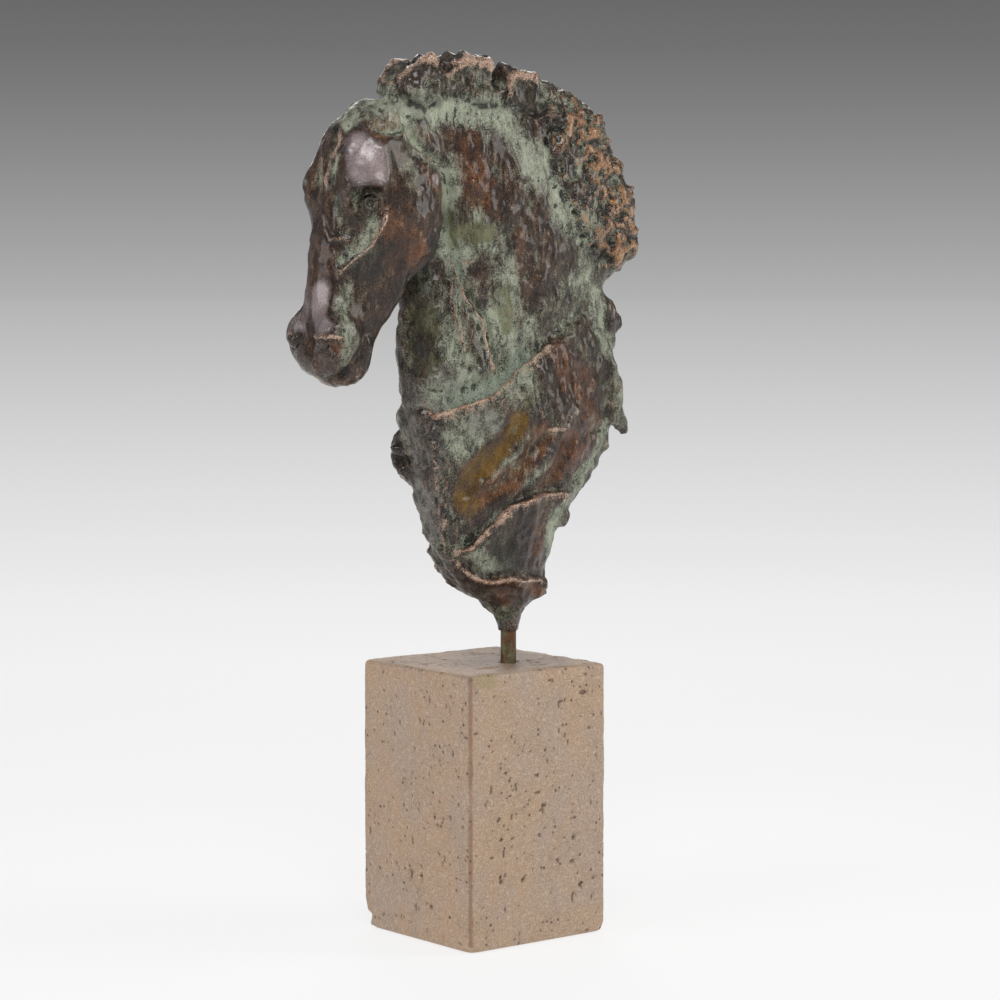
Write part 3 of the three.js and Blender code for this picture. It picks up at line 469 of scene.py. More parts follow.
def sculpt_bronze(skin):
    places = (skin.points - ORIGIN) / HUNDREDTH
    band, tufts = mane_shares(places)
    height = eye_height(places)
    for path, rise, width in STROKES:
        height += stroke_height(places, skin.normals, path, rise, width)
    for path, rise, width in NEAR_STROKES:
        height += stroke_height(places, skin.normals, path, rise, width, both=False)
    for path, rise, width in CRUMBLED:
        height += stroke_height(places, skin.normals, path, rise, width, 0.4)
    face = step(-places[:, 0], 26, 29) * step(places[:, 2], 43, 45)
    smooth = patch_mask(places, [(flute, 9, 1) for flute in FLUTES], 0.1, 71)
    crust = patch_mask(places, [(path, reach, 1) for path, reach in CRUSTS], 0.5, 73)
    knobs = knobs_and_pits(places)
    calm = (1 - 0.62 * face) * (1 - band) * (1 - 0.7 * smooth)
    height += calm * 0.9 * rough(places, (5, 5, 7), 1, 3)
    height += calm * 0.6 * rough(places, (1.5, 1.5, 2.2), 5, 2)
    height += calm * 1.1 * (crinkled(places, (3, 3, 8), 11, 2) - 0.4)
    height += calm * 0.6 * (crinkled(places, (1.3, 1.3, 3.6), 15, 1) - 0.4)
    height += calm * 0.4 * knobs
    height += crust * (0.5 * knobs + 0.9 * (crinkled(places, 2.2, 27, 2) - 0.4))
    height += band * (2 * rough(places, 5, 21, 3) + 1.7 * (crinkled(places, 2.5, 23, 2) - 0.45) + 1.4 * knobs)
    height += tufts * (1.8 * rough(places, 3.6, 25, 3) + 1.2 * (crinkled(places, (2, 2, 4), 29, 2) - 0.4) + 0.5 * knobs)
    foot = step(places[:, 2], 0.6, 2.5)
    skin.move(skin.points + skin.normals * (height * foot * MM)[:, None])
    return band


# Colour masks of the bronze: each patch is a path, a radius in millimetres and a strength

PATCHES = {
    "verdigris": [
        ([(-30, -4, 89.5), (-26, -4, 89), (-21.9, -4.7, 89.3)], 16, 1),
        ([(-21.9, -4.7, 89.6), (-12.4, -5, 89.8), (-4.4, -5.1, 89.3)], 11, 1),
        ([(-4.4, -5.1, 88.8), (-2.4, -6, 85), (1.6, -6.6, 80), (4.5, -7, 74)], 12, 0.8),
        (CHEEK_GROOVE, 9, 0.85),
        (NECK_GROOVE, 9, 0.8),
        ([(-10, -6.6, 56), (-8, -7, 50), (-5, -7.6, 47)], 14, 0.8),
        ([(-12, -6.6, 70), (-7, -7, 66), (-6, -7, 60)], 13, 0.65),
        ([(-18, -5, 57), (-16, -5.6, 50)], 16, 0.5),
        (SHOULDER_HOLLOW, 14, 0.8),
        ([(-35, -0.6, 88), (-31, -1, 91), (-28, -1, 92)], 12, 1),
        ([(-38.2, -1.6, 82), (-38.8, -2.4, 78)], 5, 0.5),
        ([(-38.6, -3.4, 74.6), (-39, -4, 70)], 7, 0.6),
        ([(-34.5, -7.5, 70.1), (-36.4, -6.3, 66.6), (-38.6, -4.6, 64.6)], 7, 0.7),
        ([(-39, -4.8, 60), (-40.2, -6.2, 56.2), (-39.8, -7.3, 53.5), (-38.8, -7.4, 51), (-39.4, -6.4, 48)], 8, 0.9),
        ([(-27.9, -8.4, 80), (-26.1, -8.7, 76.3)], 14, 0.35),
        ([(-17.2, -6.5, 36.4), (-14, -7.6, 35.4), (-12, -8, 36.6)], 14, 0.62),
        ([(-17, -6, 43), (-19, -5, 40)], 12, 0.6),
        ([(-4.4, -9.1, 36), (-6.1, -9, 32), (-9.6, -8.1, 27.3)], 6, 0.7),
        ([(-3, -9, 27), (1, -8.6, 29)], 7, 0.6),
        ([(-10.5, -5.7, 13.5), (-5.9, -5.8, 12.3)], 9, 0.6),
        ([(18.3, -4.4, 35.7), (14.3, -5.1, 28.5), (9.5, -5.7, 25.5), (6, -6, 21), (5.5, -4, 14)], 8, 0.8),
        (FLAP_RIDGE, 8, 0.75),
        ([(12, -6, 62), (9, -7, 58), (6, -8, 53)], 14, 0.5),
        ([(8, -7, 72), (12, -6.5, 68)], 14, 0.5),
        ([(-3, -1.9, 3.6)], 8, 0.6),
    ],
    "brown": [
        ([(-23.5, -5.4, 86.4), (-18.8, -4.8, 86.2), (-14.8, -5.2, 85.4), (-11.7, -6, 83.6)], 9, 1),
        ([(-13.2, -5.9, 83), (-11.6, -6.2, 78), (-8, -7, 73)], 12, 1),
        ([(-7.1, -6.5, 84.2), (-5.7, -7.4, 78.3), (-3, -7.7, 72), (-2, -7.7, 64)], 8, 0.7),
        ([(0.7, -7.7, 75.8), (1, -8, 69.8), (2.9, -7.7, 63.8), (-0.5, -7.8, 59.6)], 10, 0.7),
        ([(-12, -6.4, 63), (-11.4, -6.2, 58)], 9, 0.7),
        ([(-14.6, -6.2, 57), (-13.4, -6.4, 50)], 9, 0.8),
        ([(-31, -6, 78), (-27, -7.6, 72), (-24, -7, 67), (-30, -5, 60), (-34, -4, 52)], 22, 0.9),
        ([(-40.4, -1.5, 72), (-41.3, -1.5, 66), (-41.6, 0, 58), (-41.4, 0, 50)], 17, 1),
        ([(-40.8, -3, 50), (-40, -4, 47), (-37, -3, 45)], 14, 1),
        (CHEST_KNOBS, 9, 1),
        ([(-38, 3, 82), (-39, 4, 74), (-40, 3, 66)], 14, 0.9),
        ([(6, -8, 47), (9, -8, 40), (6, -8, 33)], 22, 0.75),
        ([(-3.1, -8.6, 20.8), (-1.1, -7.3, 17.2), (1.1, -5.7, 13.1)], 15, 0.9),
        ([(-12, -4, 10), (-6, -5, 8), (2, -4, 8)], 10, 0.8),
    ],
    "orange": [
        ([(-14, -5.6, 84), (-12.6, -6.1, 80.5), (-11.6, -6.4, 77)], 13, 0.7),
        ([(-25.2, -7.6, 80.5), (-22.4, -7.2, 77)], 5, 0.8),
        ([(-20.7, -7.2, 77.4), (-19.4, -5.6, 72.6)], 7, 0.8),
        ([(-31.6, -7.9, 71), (-31.2, -7.9, 69), (-29.6, -7.8, 66.8), (-27, -7.9, 66)], 11, 0.75),
        (EAR_FACE, 9, 1),
        ([(-39, 4.6, 51)], 9, 0.8),
        ([(-40.8, -2.9, 51), (-41.5, -6, 51)], 6, 0.5),
        ([(4.2, -8.9, 48.2), (6.7, -8.7, 43.9), (11.8, -7, 41), (13.4, -6.2, 36.6)], 13, 0.55),
        ([(12.1, -6.7, 31.5), (8.4, -7.7, 29.6), (14.6, -5.9, 34.2)], 9, 0.6),
        (FLUTES[1], 9, 1),
        (FLUTES[2], 10, 0.9),
        ([(-0.1, -8.2, 21), (1.1, -5.7, 15)], 8, 0.6),
        ([(-3.8, -4, 6.3), (-6.6, -5.2, 9), (1.1, -4.6, 8.5), (3.6, -3.6, 7)], 8, 0.9),
        ([(-4.3, -7.7, 68), (-3.5, -7.7, 62)], 7, 0.5),
    ],
    "ochre": [
        (FLUTES[0], 9, 1),
        ([(-14.3, -5.6, 25.6), (-13.2, -6, 23)], 9, 0.8),
    ],
    "olive": [
        ([(-14, -6.3, 69.8), (-15.4, -5.9, 71), (-9.9, -7.2, 68.9)], 10, 0.8),
        ([(-21.3, -3.2, 56), (-21.7, -3, 51.3), (-21.1, -3.5, 47.2)], 9, 1),
        ([(-8, -7, 60), (-6, -7.4, 54)], 9, 0.6),
        ([(-3, -9, 40.6), (-4, -9, 36)], 6, 0.5),
    ],
    "blue": [
        ([(-17, -5.4, 42), (-12, -6.7, 42.6), (-8, -7, 44), (-3.1, -7.4, 47.6)], 9, 0.8),
        ([(-16.2, -4.7, 66), (-15, -5, 62)], 8, 0.7),
        ([(-7, -8, 24.6), (-9, -7.6, 22)], 7, 0.6),
    ],
    "grey": [
        ([(-21.7, -1.8, 40), (-20.9, -1.8, 34), (-20.3, -2.3, 29.2), (-19, -1.6, 23.9), (-17.3, -1.7, 18.7)], 14, 0.9),
        ([(-18.4, -5, 44.6), (-16.8, -5.4, 44)], 11, 0.7),
        ([(-12.6, -7.8, 38), (-9.4, -8.3, 36)], 12, 0.7),
        ([(-26, -4, 91), (-20, -4, 88)], 8, 0.4),
    ],
    # Painted shade: near-black patches where shade falls, under the jaw, the facial crest, the chin, the chest crest
    # and the tufts, down the front of the neck, at the foot of the mane, round the chest knobs and between the tufts
    "painted_shade": [
        ([(-18.6, -5.4, 72), (-21.5, -6.6, 67), (-26, -5.4, 62.5), (-30, -4.6, 58)], 9, 0.8),
        ([(-36, -5.6, 63), (-33.4, -6.2, 64), (-30, -7, 66)], 11, 0.8),
        ([(-34.6, -4.8, 47.4), (-33.8, -5, 50), (-34.2, -4.9, 54)], 7, 0.7),
        ([(-21.5, -3.4, 62), (-21.8, -3, 55), (-21.4, -3.2, 46)], 6, 0.6),
        ([(-3, -8.2, 20), (-2.5, -7.2, 16), (-4.6, -6.6, 13.5)], 16, 0.85),
        ([(-12, -4, 10.5), (-6, -4.6, 7.5), (0, -4, 6.5)], 9, 0.55),
        ([(17, -5, 64), (14, -6, 66), (19, -4.6, 62)], 9, 0.5),
        (CHEST_KNOBS, 8, 0.8),
        *[(foot, 4, 0.6) for foot in TUFT_FEET],
        *[(gap, 3, 0.5) for gap in TUFT_GAPS],
    ],
    # Painted highlight: pale lilac grey on the forehead plane, the nose and the top of the neck, standing in for the
    # lamp's reflection; these patches also make the surface shinier and smoother
    "gloss_and_highlight": [
        ([(-36.3, -5.4, 84), (-36.6, -6.2, 81.6), (-37, -7.4, 79), (-34.4, -7.9, 79.2), (-34.8, -7, 82.4)], 10, 1),
        ([(-41.4, -1.6, 59.4), (-41.9, -1.9, 56.6), (-42.6, -2.6, 54.6), (-42.8, -4.6, 54)], 7.5, 1),
        ([(-21.6, -7.4, 78.1)], 5, 0.9),
        ([(-40, 0, 74), (-40.6, 0, 66)], 8, 0.25),
        ([(-41.6, -1.4, 48.6), (-40.8, -4, 47.6)], 7, 0.2),
    ],
    # Crests and tuft rims worn to the reddish metal, and painted pale along their tops as highlights as well
    "copper_wear_and_highlight": [
        (SHOULDER_CREST, 4.4, 1),
        (CHEST_CREST, 3.6, 1),
        (FOOT_CREST, 3.2, 1),
        (FACIAL_CREST, 1.8, 0.9),
        (CHEEK_EDGE, 1.4, 0.7),
        (NECK_RIDGE, 1.4, 0.8),
        ([(x - 0.9, y, z) for x, y, z in NECK_GROOVE], 1.6, 0.8),
        (MIDLINE, 1.4, 0.8),
        (NOSE_FLAP, 1.8, 0.7),
        (NOSE_RIDGE, 1.1, 0.5),
        *[(rim, 4.4, 1) for rim in TUFT_RIMS],
        *[(ridge, 1.2, 0.7) for ridge in SMALL_RIDGES + FRONT_RIDGES],
        ([(12.1, -6.2, 86.7), (15.9, -6.5, 82.1), (19, -6.3, 76), (21.6, -6, 72.5), (22.4, -6.1, 68.1), (19, -5.5, 66.3)], 16, 0.8),
    ],
}


SMOOTH_EDGED = ("ochre", "gloss_and_highlight", "copper_wear_and_highlight", "painted_shade")


def patch_mask(places, patches, ragged, seed, normals=None):
    """How strongly a colour lies on each point; the patches fade out and have uneven edges."""
    mask = np.zeros(len(places))
    edge = ragged * rough(places, (3, 3, 4.6), seed, 4)
    for path, radius, strength in patches:
        for line, share in sides(path):
            distance, _ = nearest(line, places, normals)
            closeness = 1 - distance * HUNDREDTH / MM / radius
            near = closeness > -1
            lying = strength * share * step(closeness[near] + edge[near], -0.2, 0.7)
            mask[near] = np.maximum(mask[near], lying)
    return mask


def paint_bronze(skin, mane):
    places = (skin.points - ORIGIN) / HUNDREDTH
    fine = skin.standing_out(5) / MM
    medium = skin.standing_out(24) / MM
    broad = skin.standing_out(90) / MM
    crest = np.maximum(step(fine, 0.06, 0.4), step(medium, 0.2, 0.9))
    recess = np.maximum(step(-fine, 0.05, 0.38), step(-medium, 0.15, 0.8))
    cavity_shade = np.maximum(step(-fine, 0.22, 0.6), step(-medium, 0.7, 1.7))
    nose = step(6 - np.linalg.norm(places - NOSE_MIDDLE, axis=1), 0, 2)
    skin.paint("crest", crest + 0.35 * step(broad, 0.5, 1.8))
    skin.paint("recess", 0.65 * recess + 0.7 * step(-broad, 0.15, 1.4))
    # Painted shade: the deepest hollows are marked for near-black colour, standing in for the shade that falls in them,
    # less so round the nostrils
    skin.paint("cavity_shade", (cavity_shade + 0.5 * step(-broad, 1.3, 2.6)) * (1 - 0.8 * nose))
    skin.paint("mane", mane)
    for seed, (colour, patches) in enumerate(PATCHES.items()):
        ragged = 0.15 if colour in SMOOTH_EDGED else 0.4
        normals = skin.normals if colour == "copper_wear_and_highlight" else None
        skin.paint(colour, patch_mask(places, patches, ragged, 40 + 3 * seed, normals))


# Travertine block

STONE_SLITS = [
    # Places on the block in millimetres, half lengths and depth
    ((-50, 5, 38), (1, 1.2, 3), 2),
    ((-50, 1, 19), (1, 1.2, 3), 2),
    ((-50, -14, 22), (1, 1, 2), 1.6),
    ((-50, -20, 70), (1, 1.6, 1.2), 1.2),
    ((-50, -34, 112), (1, 1, 1.6), 1.4),
    ((-50, 24.5, 129), (1, 2.8, 6.5), 0.9),
    ((33, -50, 141), (2.8, 1, 1.2), 2),
    ((4, -50, 79), (2, 1, 1.2), 2),
    ((-1, -50, 87), (2.4, 1, 1), 1.4),
    ((26, -50, 58), (2, 1, 2.4), 1.8),
    ((31, -50, 30), (1.6, 1, 1.6), 1.8),
    ((-12, -50, 38), (1.2, 1, 1), 1.8),
    ((40, -50, 22), (1, 1, 2), 1.4),
    ((8, -50, 150), (1, 1, 1), 1.8),
    ((-20, -28, 157), (6, 1.4, 1), 2.6),
    ((14, -34, 157), (5, 1.4, 1), 2.6),
    ((-34, 10, 157), (4, 1, 1), 1.6),
]
STAIN = (-38, -50, 154)
BLOCK_HALF = 49
SHELL_MIDDLE = (16, 51.5)
SHELL_HALF = (7.5, 3.4)
# The corner knocked off at the foot, how high it reaches and how deep it goes
CHIPPED_CORNER = (-50, 50)
CHIP_HEIGHT = 11
CHIP_DEPTH = 3


def sculpt_stone(skin):
    skin.move(skin.points - skin.normals * (0.45 * np.clip(skin.standing_out(30), 0, None))[:, None])
    places = skin.points / MM
    height = 0.25 * rough(places, (9, 9, 9), 51, 3)
    for centre, half, depth in STONE_SLITS:
        away = np.linalg.norm((places - centre) / np.maximum(half, 1), axis=1)
        height -= depth * np.exp(-(away**2))
    beds = noise(places, (22, 22, 30), 57)
    pits = step(noise(places, (1.9, 1.9, 2.3), 61), 0.84, 0.93) * step(beds, 0.44, 0.66)
    slits = step(noise(places, (1.7, 1.7, 3.4), 65), 0.88, 0.95) * step(1 - beds, 0.4, 0.6)
    pits = np.maximum(pits, 0.6 * slits)
    height -= 1.1 * pits
    away = (places[:, [0, 2]] - SHELL_MIDDLE) @ np.array([[0.94, -0.34], [0.34, 0.94]]) / SHELL_HALF
    shell = np.exp(-(((np.linalg.norm(away, axis=1) - 1) / 0.2) ** 2)) * (places[:, 1] < 3 - BLOCK_HALF)
    height -= 0.5 * shell * noise(places, 5, 69)
    standing = 1 - step(-skin.normals[:, 2], 0.3, 0.8)
    moved = skin.points + skin.normals * (height * standing * MM)[:, None]
    corner_away = np.hypot(places[:, 0] - CHIPPED_CORNER[0], places[:, 1] - CHIPPED_CORNER[1])
    chip = CHIP_DEPTH * step(12 - corner_away, 0, 8) * step(CHIP_HEIGHT - places[:, 2], 0, 3)
    moved[:, :2] *= 1 - 0.03 * np.clip(1 - places[:, 2:] / 3, 0, 1) ** 2
    moved[:, :2] -= chip[:, None] * MM * np.sign(CHIPPED_CORNER) * (0.4, 0.9)
    moved[:, 2] = np.maximum(moved[:, 2], 0)
    skin.move(moved)
    # Painted shade: hollows, pits and the shell's rim are marked for a near-black brown, standing in for the shade in
    # them
    skin.paint("recess", step(-skin.standing_out(5) / MM, 0.12, 0.5) + pits + 0.2 * shell)
    corner = np.hypot(places[:, 0] + BLOCK_HALF, places[:, 1] + BLOCK_HALF)
    edge = step(1 - corner / 2.4, 0, 0.8) * (0.45 + 0.7 * noise(places, 7, 71))
    skin.paint("edge", edge + 0.6 * step(skin.standing_out(20) / MM, 0.3, 1.2))
    # Painted shadow: the top of the block is marked for a greyish brown round the rod, where the bronze casts its
    # shadow
    rod_away = np.hypot(places[:, 0] - 8, places[:, 1] + 12) + 12 * rough(places, 9, 63)
    skin.paint("bronze_shadow", step(skin.normals[:, 2], 0.6, 0.95) * step(60 - rod_away, 0, 50))
    stain_distance = np.linalg.norm((places - STAIN) / (8, 8, 3.5), axis=1)
    skin.paint("stain", step(1.6 - stain_distance + 0.5 * rough(places, 5, 67), 0, 1.2))


# Shader maths written as sums of sockets

class Value:
    """A node's output, so that what a shader works out reads as a plain expression."""

    def __init__(self, finish, socket):
        self.finish = finish
        self.socket = socket

    def maths(self, operation, *others):
        values = dict(enumerate((self, *others)))
        return self.finish.node("ShaderNodeMath", {"operation": operation}, values)

    def __add__(self, other):
        return self.maths("ADD", other)

    __radd__ = __add__

    def __mul__(self, other):
        return self.maths("MULTIPLY", other)

    __rmul__ = __mul__

    def __sub__(self, other):
        return self.maths("SUBTRACT", other)

    def __rsub__(self, other):
        return (self * -1).maths("ADD", other)

    def __neg__(self):
        return self * -1

    def __pow__(self, other):
        return self.maths("POWER", other)

    def clamped(self):
        return self.maths("MINIMUM", 1.0).maths("MAXIMUM", 0.0)

    def stepped(self, low, high):
        ranges = {"Value": self, "From Min": low, "From Max": high}
        return self.finish.node("ShaderNodeMapRange", {"interpolation_type": "SMOOTHSTEP"}, ranges)


class Finish:
    """A material that is built up from nodes."""

    def __init__(self, name):
        self.material = bpy.data.materials.new(name)
        self.material.use_nodes = True
        self.tree = self.material.node_tree
        self.tree.nodes.clear()
        self.shader = self.tree.nodes.new("ShaderNodeBsdfPrincipled")
        output = self.tree.nodes.new("ShaderNodeOutputMaterial")
        self.tree.links.new(self.shader.outputs[0], output.inputs["Surface"])
        self.places = self.node("ShaderNodeTexCoord", output="Object")

    def node(self, kind, settings=None, values=None, output=0):
        made = self.tree.nodes.new(kind)
        for name, setting in (settings or {}).items():
            setattr(made, name, setting)
        for name, value in (values or {}).items():
            self.feed(made.inputs[name], value)
        return Value(self, made.outputs[output])

    def feed(self, socket, value):
        if isinstance(value, Value):
            self.tree.links.new(value.socket, socket)
        elif hasattr(value, "__len__") and len(value) == 3 and socket.type == "RGBA":
            socket.default_value = (*value, 1)
        else:
            socket.default_value = value

    def set(self, name, value):
        self.feed(self.shader.inputs[name], value)

    def attribute(self, name):
        return self.node("ShaderNodeAttribute", {"attribute_name": name}, output="Fac")

    def mix(self, share, first, second):
        settings = {"data_type": "RGBA", "clamp_factor": True}
        return self.node("ShaderNodeMix", settings, {0: share, 6: first, 7: second}, 2)

    def scaled(self, scale):
        return self.node("ShaderNodeMapping", values={"Vector": self.places, "Scale": scale})

    def noise(self, scale, detail=4.0, roughness=0.6, stretch=None, distortion=0.0):
        places = self.scaled(stretch) if stretch else self.places
        values = {
            "Vector": places,
            "Scale": scale,
            "Detail": detail,
            "Roughness": roughness,
            "Distortion": distortion,
        }
        return self.node("ShaderNodeTexNoise", values=values)

    def speckle(self, scale, randomness=1.0):
        values = {"Vector": self.places, "Scale": scale, "Randomness": randomness}
        return self.node("ShaderNodeTexVoronoi", values=values, output="Distance")

    def bump(self, height, distance, strength=1.0, normal=None):
        values = {"Strength": strength, "Distance": distance, "Height": height}
        if normal:
            values["Normal"] = normal
        return self.node("ShaderNodeBump", values=values)


# Colours are linear
BLACK_BROWN = (0.006, 0.004, 0.003)
DARK_BROWN = (0.020, 0.010, 0.0055)
MID_BROWN = (0.098, 0.047, 0.023)
DEEP_RUST = (0.085, 0.030, 0.012)
RUST_BROWN = (0.24, 0.086, 0.020)
DEEP_OCHRE = (0.085, 0.042, 0.008)
OCHRE = (0.23, 0.12, 0.008)
# Crest and mane colours: worn metal, and painted highlight and glint as well
CREST_WEAR_AND_HIGHLIGHT = (0.70, 0.50, 0.38)
MANE_WEAR_AND_GLINT = (0.58, 0.345, 0.19)
# Painted highlight colour, a pale lilac grey
HIGHLIGHT_LILAC = (0.29, 0.235, 0.235)
SCRATCHED = (0.30, 0.22, 0.155)
PALE_GREEN = (0.55, 0.60, 0.45)
DEEP_GREEN = (0.062, 0.075, 0.038)
BLUE_GREEN = (0.20, 0.29, 0.265)
OLIVE = (0.15, 0.155, 0.040)
PINK_GREY = (0.33, 0.30, 0.29)


def bronze_finish():
    """Patinated bronze: brown metal, worn pale on its crests, with green salts in its hollows; the crests also carry
    painted highlights, the forehead and nose a painted highlight, and the lowest hollows and shaded places painted
    shade.
    """
    finish = Finish("patinated_bronze")
    masks = {name: finish.attribute(name) for name in ("crest", "recess", "cavity_shade", "mane", *PATCHES)}
    clouds = finish.noise(50, 3, 0.55) - 0.5
    mottle = finish.noise(190, 4, 0.62, stretch=(1, 1, 0.7), distortion=0.3) - 0.5
    hairs = finish.noise(430, 4, 0.7, stretch=(1, 1, 0.3), distortion=0.6) - 0.5
    grain = finish.noise(1250, 3, 0.72) - 0.5
    crease = (finish.noise(170, 3, 0.6, stretch=(1, 1, 0.5), distortion=0.8) - 0.5).maths("ABSOLUTE")
    line = 1 - crease.stepped(0.0, 0.028)

    brown = finish.mix((mottle + grain * 1.2 + hairs).stepped(-0.17, 0.22), DARK_BROWN, MID_BROWN)
    rust = finish.mix((mottle + hairs + grain).stepped(-0.17, 0.22), DEEP_RUST, RUST_BROWN)
    rusty = masks["orange"] * 0.75 + masks["brown"] * 0.1 + clouds * 1.6 + mottle * 1.3 + grain * 0.8
    brown = finish.mix(rusty.stepped(0.0, 0.85), brown, rust)
    ochre = finish.mix((mottle + clouds + grain * 0.8).stepped(-0.25, 0.22), DEEP_OCHRE, OCHRE)
    brown = finish.mix((masks["ochre"] * 0.9 + clouds * 0.5 + grain * 0.5).stepped(0.1, 0.9), brown, ochre)
    # Painted highlight: pale lilac grey where the lamp's reflection shows, on the forehead, the nose and the neck
    highlight_share = (masks["gloss_and_highlight"] + clouds * 0.5 + mottle * 0.4 + grain * 0.3).stepped(0.15, 0.9)
    brown = finish.mix(highlight_share * 0.85, brown, HIGHLIGHT_LILAC)
    brown = finish.mix((hairs * 0.9 + grain + line * 0.12).stepped(0.12, 0.34) * 0.4, brown, SCRATCHED)

    wisps = clouds * 1.5 + mottle * 1.3 + hairs * 1.1 + grain * 1.2 + line * 0.12
    held = masks["recess"] * 0.34 + masks["verdigris"] * 0.58 + masks["blue"] * 0.2 + masks["grey"] * 0.25
    cleared = masks["brown"] * 0.5 + masks["orange"] * 0.35 + masks["ochre"] * 0.95 + masks["gloss_and_highlight"] * 0.9
    salts = held - cleared - masks["crest"] * 0.2 - masks["mane"] * 0.05 + wisps + 0.24
    salts = salts + masks["mane"] * (grain * 2 + mottle * 1.6)
    salts = salts.stepped(-0.08, 1.1)
    pale = masks["verdigris"] * 0.62 + masks["mane"] * 0.4 + clouds + mottle + grain * 2.4 + hairs
    green = finish.mix((pale + 0.22).stepped(0.0, 0.85), DEEP_GREEN, PALE_GREEN)
    green = finish.mix((masks["blue"] * 0.8 + mottle).stepped(0.1, 1.0) * 0.55, green, BLUE_GREEN)
    green = finish.mix((masks["olive"] * 1.1 + clouds + mottle).stepped(0.2, 0.9) * 0.75, green, OLIVE)
    green = finish.mix((masks["grey"] + mottle * 1.6 + grain).stepped(0.1, 1.1) * 0.7, green, PINK_GREY)
    colour = finish.mix(salts, brown, green)

    # Painted shade: the deepest hollows, and a little over the whole mane, are coloured near black where shade falls in
    # them
    shaded_hollows = masks["cavity_shade"] * (0.85 - masks["blue"] * 0.5) - grain * 1.8 - mottle + line * 0.2
    shaded_hollows = shaded_hollows + masks["mane"] * 0.15
    colour = finish.mix(shaded_hollows.stepped(0.16, 0.7) * 0.85, colour, BLACK_BROWN)
    # Painted shade: the shaded patches are coloured near black
    colour = finish.mix((masks["painted_shade"] + mottle + grain).stepped(0.0, 1.1) * 0.75, colour, BLACK_BROWN)
    # Crests worn to the metal, painted pale, and golden on the mane, as highlights and glints along them as well as
    # wear
    worn = masks["copper_wear_and_highlight"] * (0.45 + masks["crest"] * 0.75) + masks["crest"] * (0.14 + masks["mane"] * 0.3)
    wear_and_glint = worn + grain * 2.2 + mottle * 1.3 + hairs * 0.9 - masks["recess"] * 0.5
    wear_and_glint = wear_and_glint.stepped(0.25, 0.95)
    metal = finish.mix(masks["mane"], CREST_WEAR_AND_HIGHLIGHT, MANE_WEAR_AND_GLINT)
    metal = finish.mix((grain * 1.4 + mottle).stepped(-0.26, 0.1), RUST_BROWN, metal)
    colour = finish.mix(wear_and_glint, colour, metal)

    finish.set("Base Color", colour)
    finish.set("Metallic", ((1 - salts) * 0.35 + wear_and_glint * 0.55 + highlight_share * 0.1).clamped())
    finish.set("Roughness", (0.31 + salts * 0.28 - highlight_share * 0.02 - wear_and_glint * 0.03 + grain * 0.5).clamped())
    finish.set("Coat Weight", (0.12 + (1 - salts) * 0.4 + highlight_share * 0.25 + masks["crest"] * 0.2).clamped())
    finish.set("Coat Roughness", 0.2)
    finish.set("Specular IOR Level", 0.45)
    calm = 1 - masks["gloss_and_highlight"] * 0.85
    skin = (mottle * 1.5 + hairs * 1.3 + grain * 0.8 - line * 0.2) * calm + salts * 0.15 + wear_and_glint * 0.15
    finish.set("Normal", finish.bump(skin, 2 * MM))
    return finish.material


def stone_finish():
    """Travertine: pinkish beige with faint beds, brown veins, filled pores and open pits."""
    finish = Finish("travertine")
    recess = finish.attribute("recess")
    stain = finish.attribute("stain")
    edge = finish.attribute("edge")
    bronze_shadow = finish.attribute("bronze_shadow")
    beds = finish.noise(26, 4, 0.6, stretch=(1, 1, 0.55), distortion=1.2)
    clouds = finish.noise(75, 5, 0.62, distortion=0.5)
    mottle = finish.noise(300, 4, 0.68)
    grain = finish.noise(900, 3, 0.78)
    veins = finish.noise(42, 5, 0.62, distortion=2.2)
    pores = finish.speckle(230)
    colour = finish.mix((beds + (mottle - 0.5) * 0.6).stepped(0.36, 0.64), (0.415, 0.28, 0.18), (0.37, 0.28, 0.22))
    colour = finish.mix(clouds.stepped(0.46, 0.66) * 0.5, colour, (0.335, 0.235, 0.16))
    colour = finish.mix(mottle.stepped(0.5, 0.66) * 0.6, colour, (0.56, 0.42, 0.29))
    crack = (veins - 0.5).maths("ABSOLUTE").stepped(0.0, 0.012)
    colour = finish.mix((1 - crack) * mottle.stepped(0.42, 0.6) * 0.6, colour, (0.22, 0.135, 0.08))
    colour = finish.mix(grain.stepped(0.5, 0.66) * 0.45, colour, (0.68, 0.54, 0.40))
    colour = finish.mix((1 - grain).stepped(0.5, 0.68) * 0.55, colour, (0.20, 0.13, 0.085))
    pits = (1 - pores.stepped(0.1, 0.26)) * clouds.stepped(0.5, 0.56)
    colour = finish.mix((edge * 0.9 + (mottle - 0.5)).stepped(0.15, 0.9) * 0.7, colour, (0.21, 0.11, 0.06))
    # Painted shadow of the bronze on the top of the block
    colour = finish.mix((bronze_shadow + (mottle - 0.5)).stepped(0.0, 1.1) * 0.65, colour, (0.19, 0.14, 0.115))
    # Painted shade in the hollows and pits marked on the skin, and the pores, coloured near-black brown
    colour = finish.mix((recess * 0.85 + pits * 0.8).clamped(), colour, (0.07, 0.038, 0.022))
    colour = finish.mix(stain * 0.4, colour, (0.26, 0.24, 0.07))
    finish.set("Base Color", colour)
    finish.set("Roughness", (0.62 + (grain - 0.5) * 0.2 + recess * 0.2).clamped())
    finish.set("Normal", finish.bump(grain * 0.2 + mottle * 0.35 - pits * 0.9, 0.6 * MM, 0.8))
    return finish.material


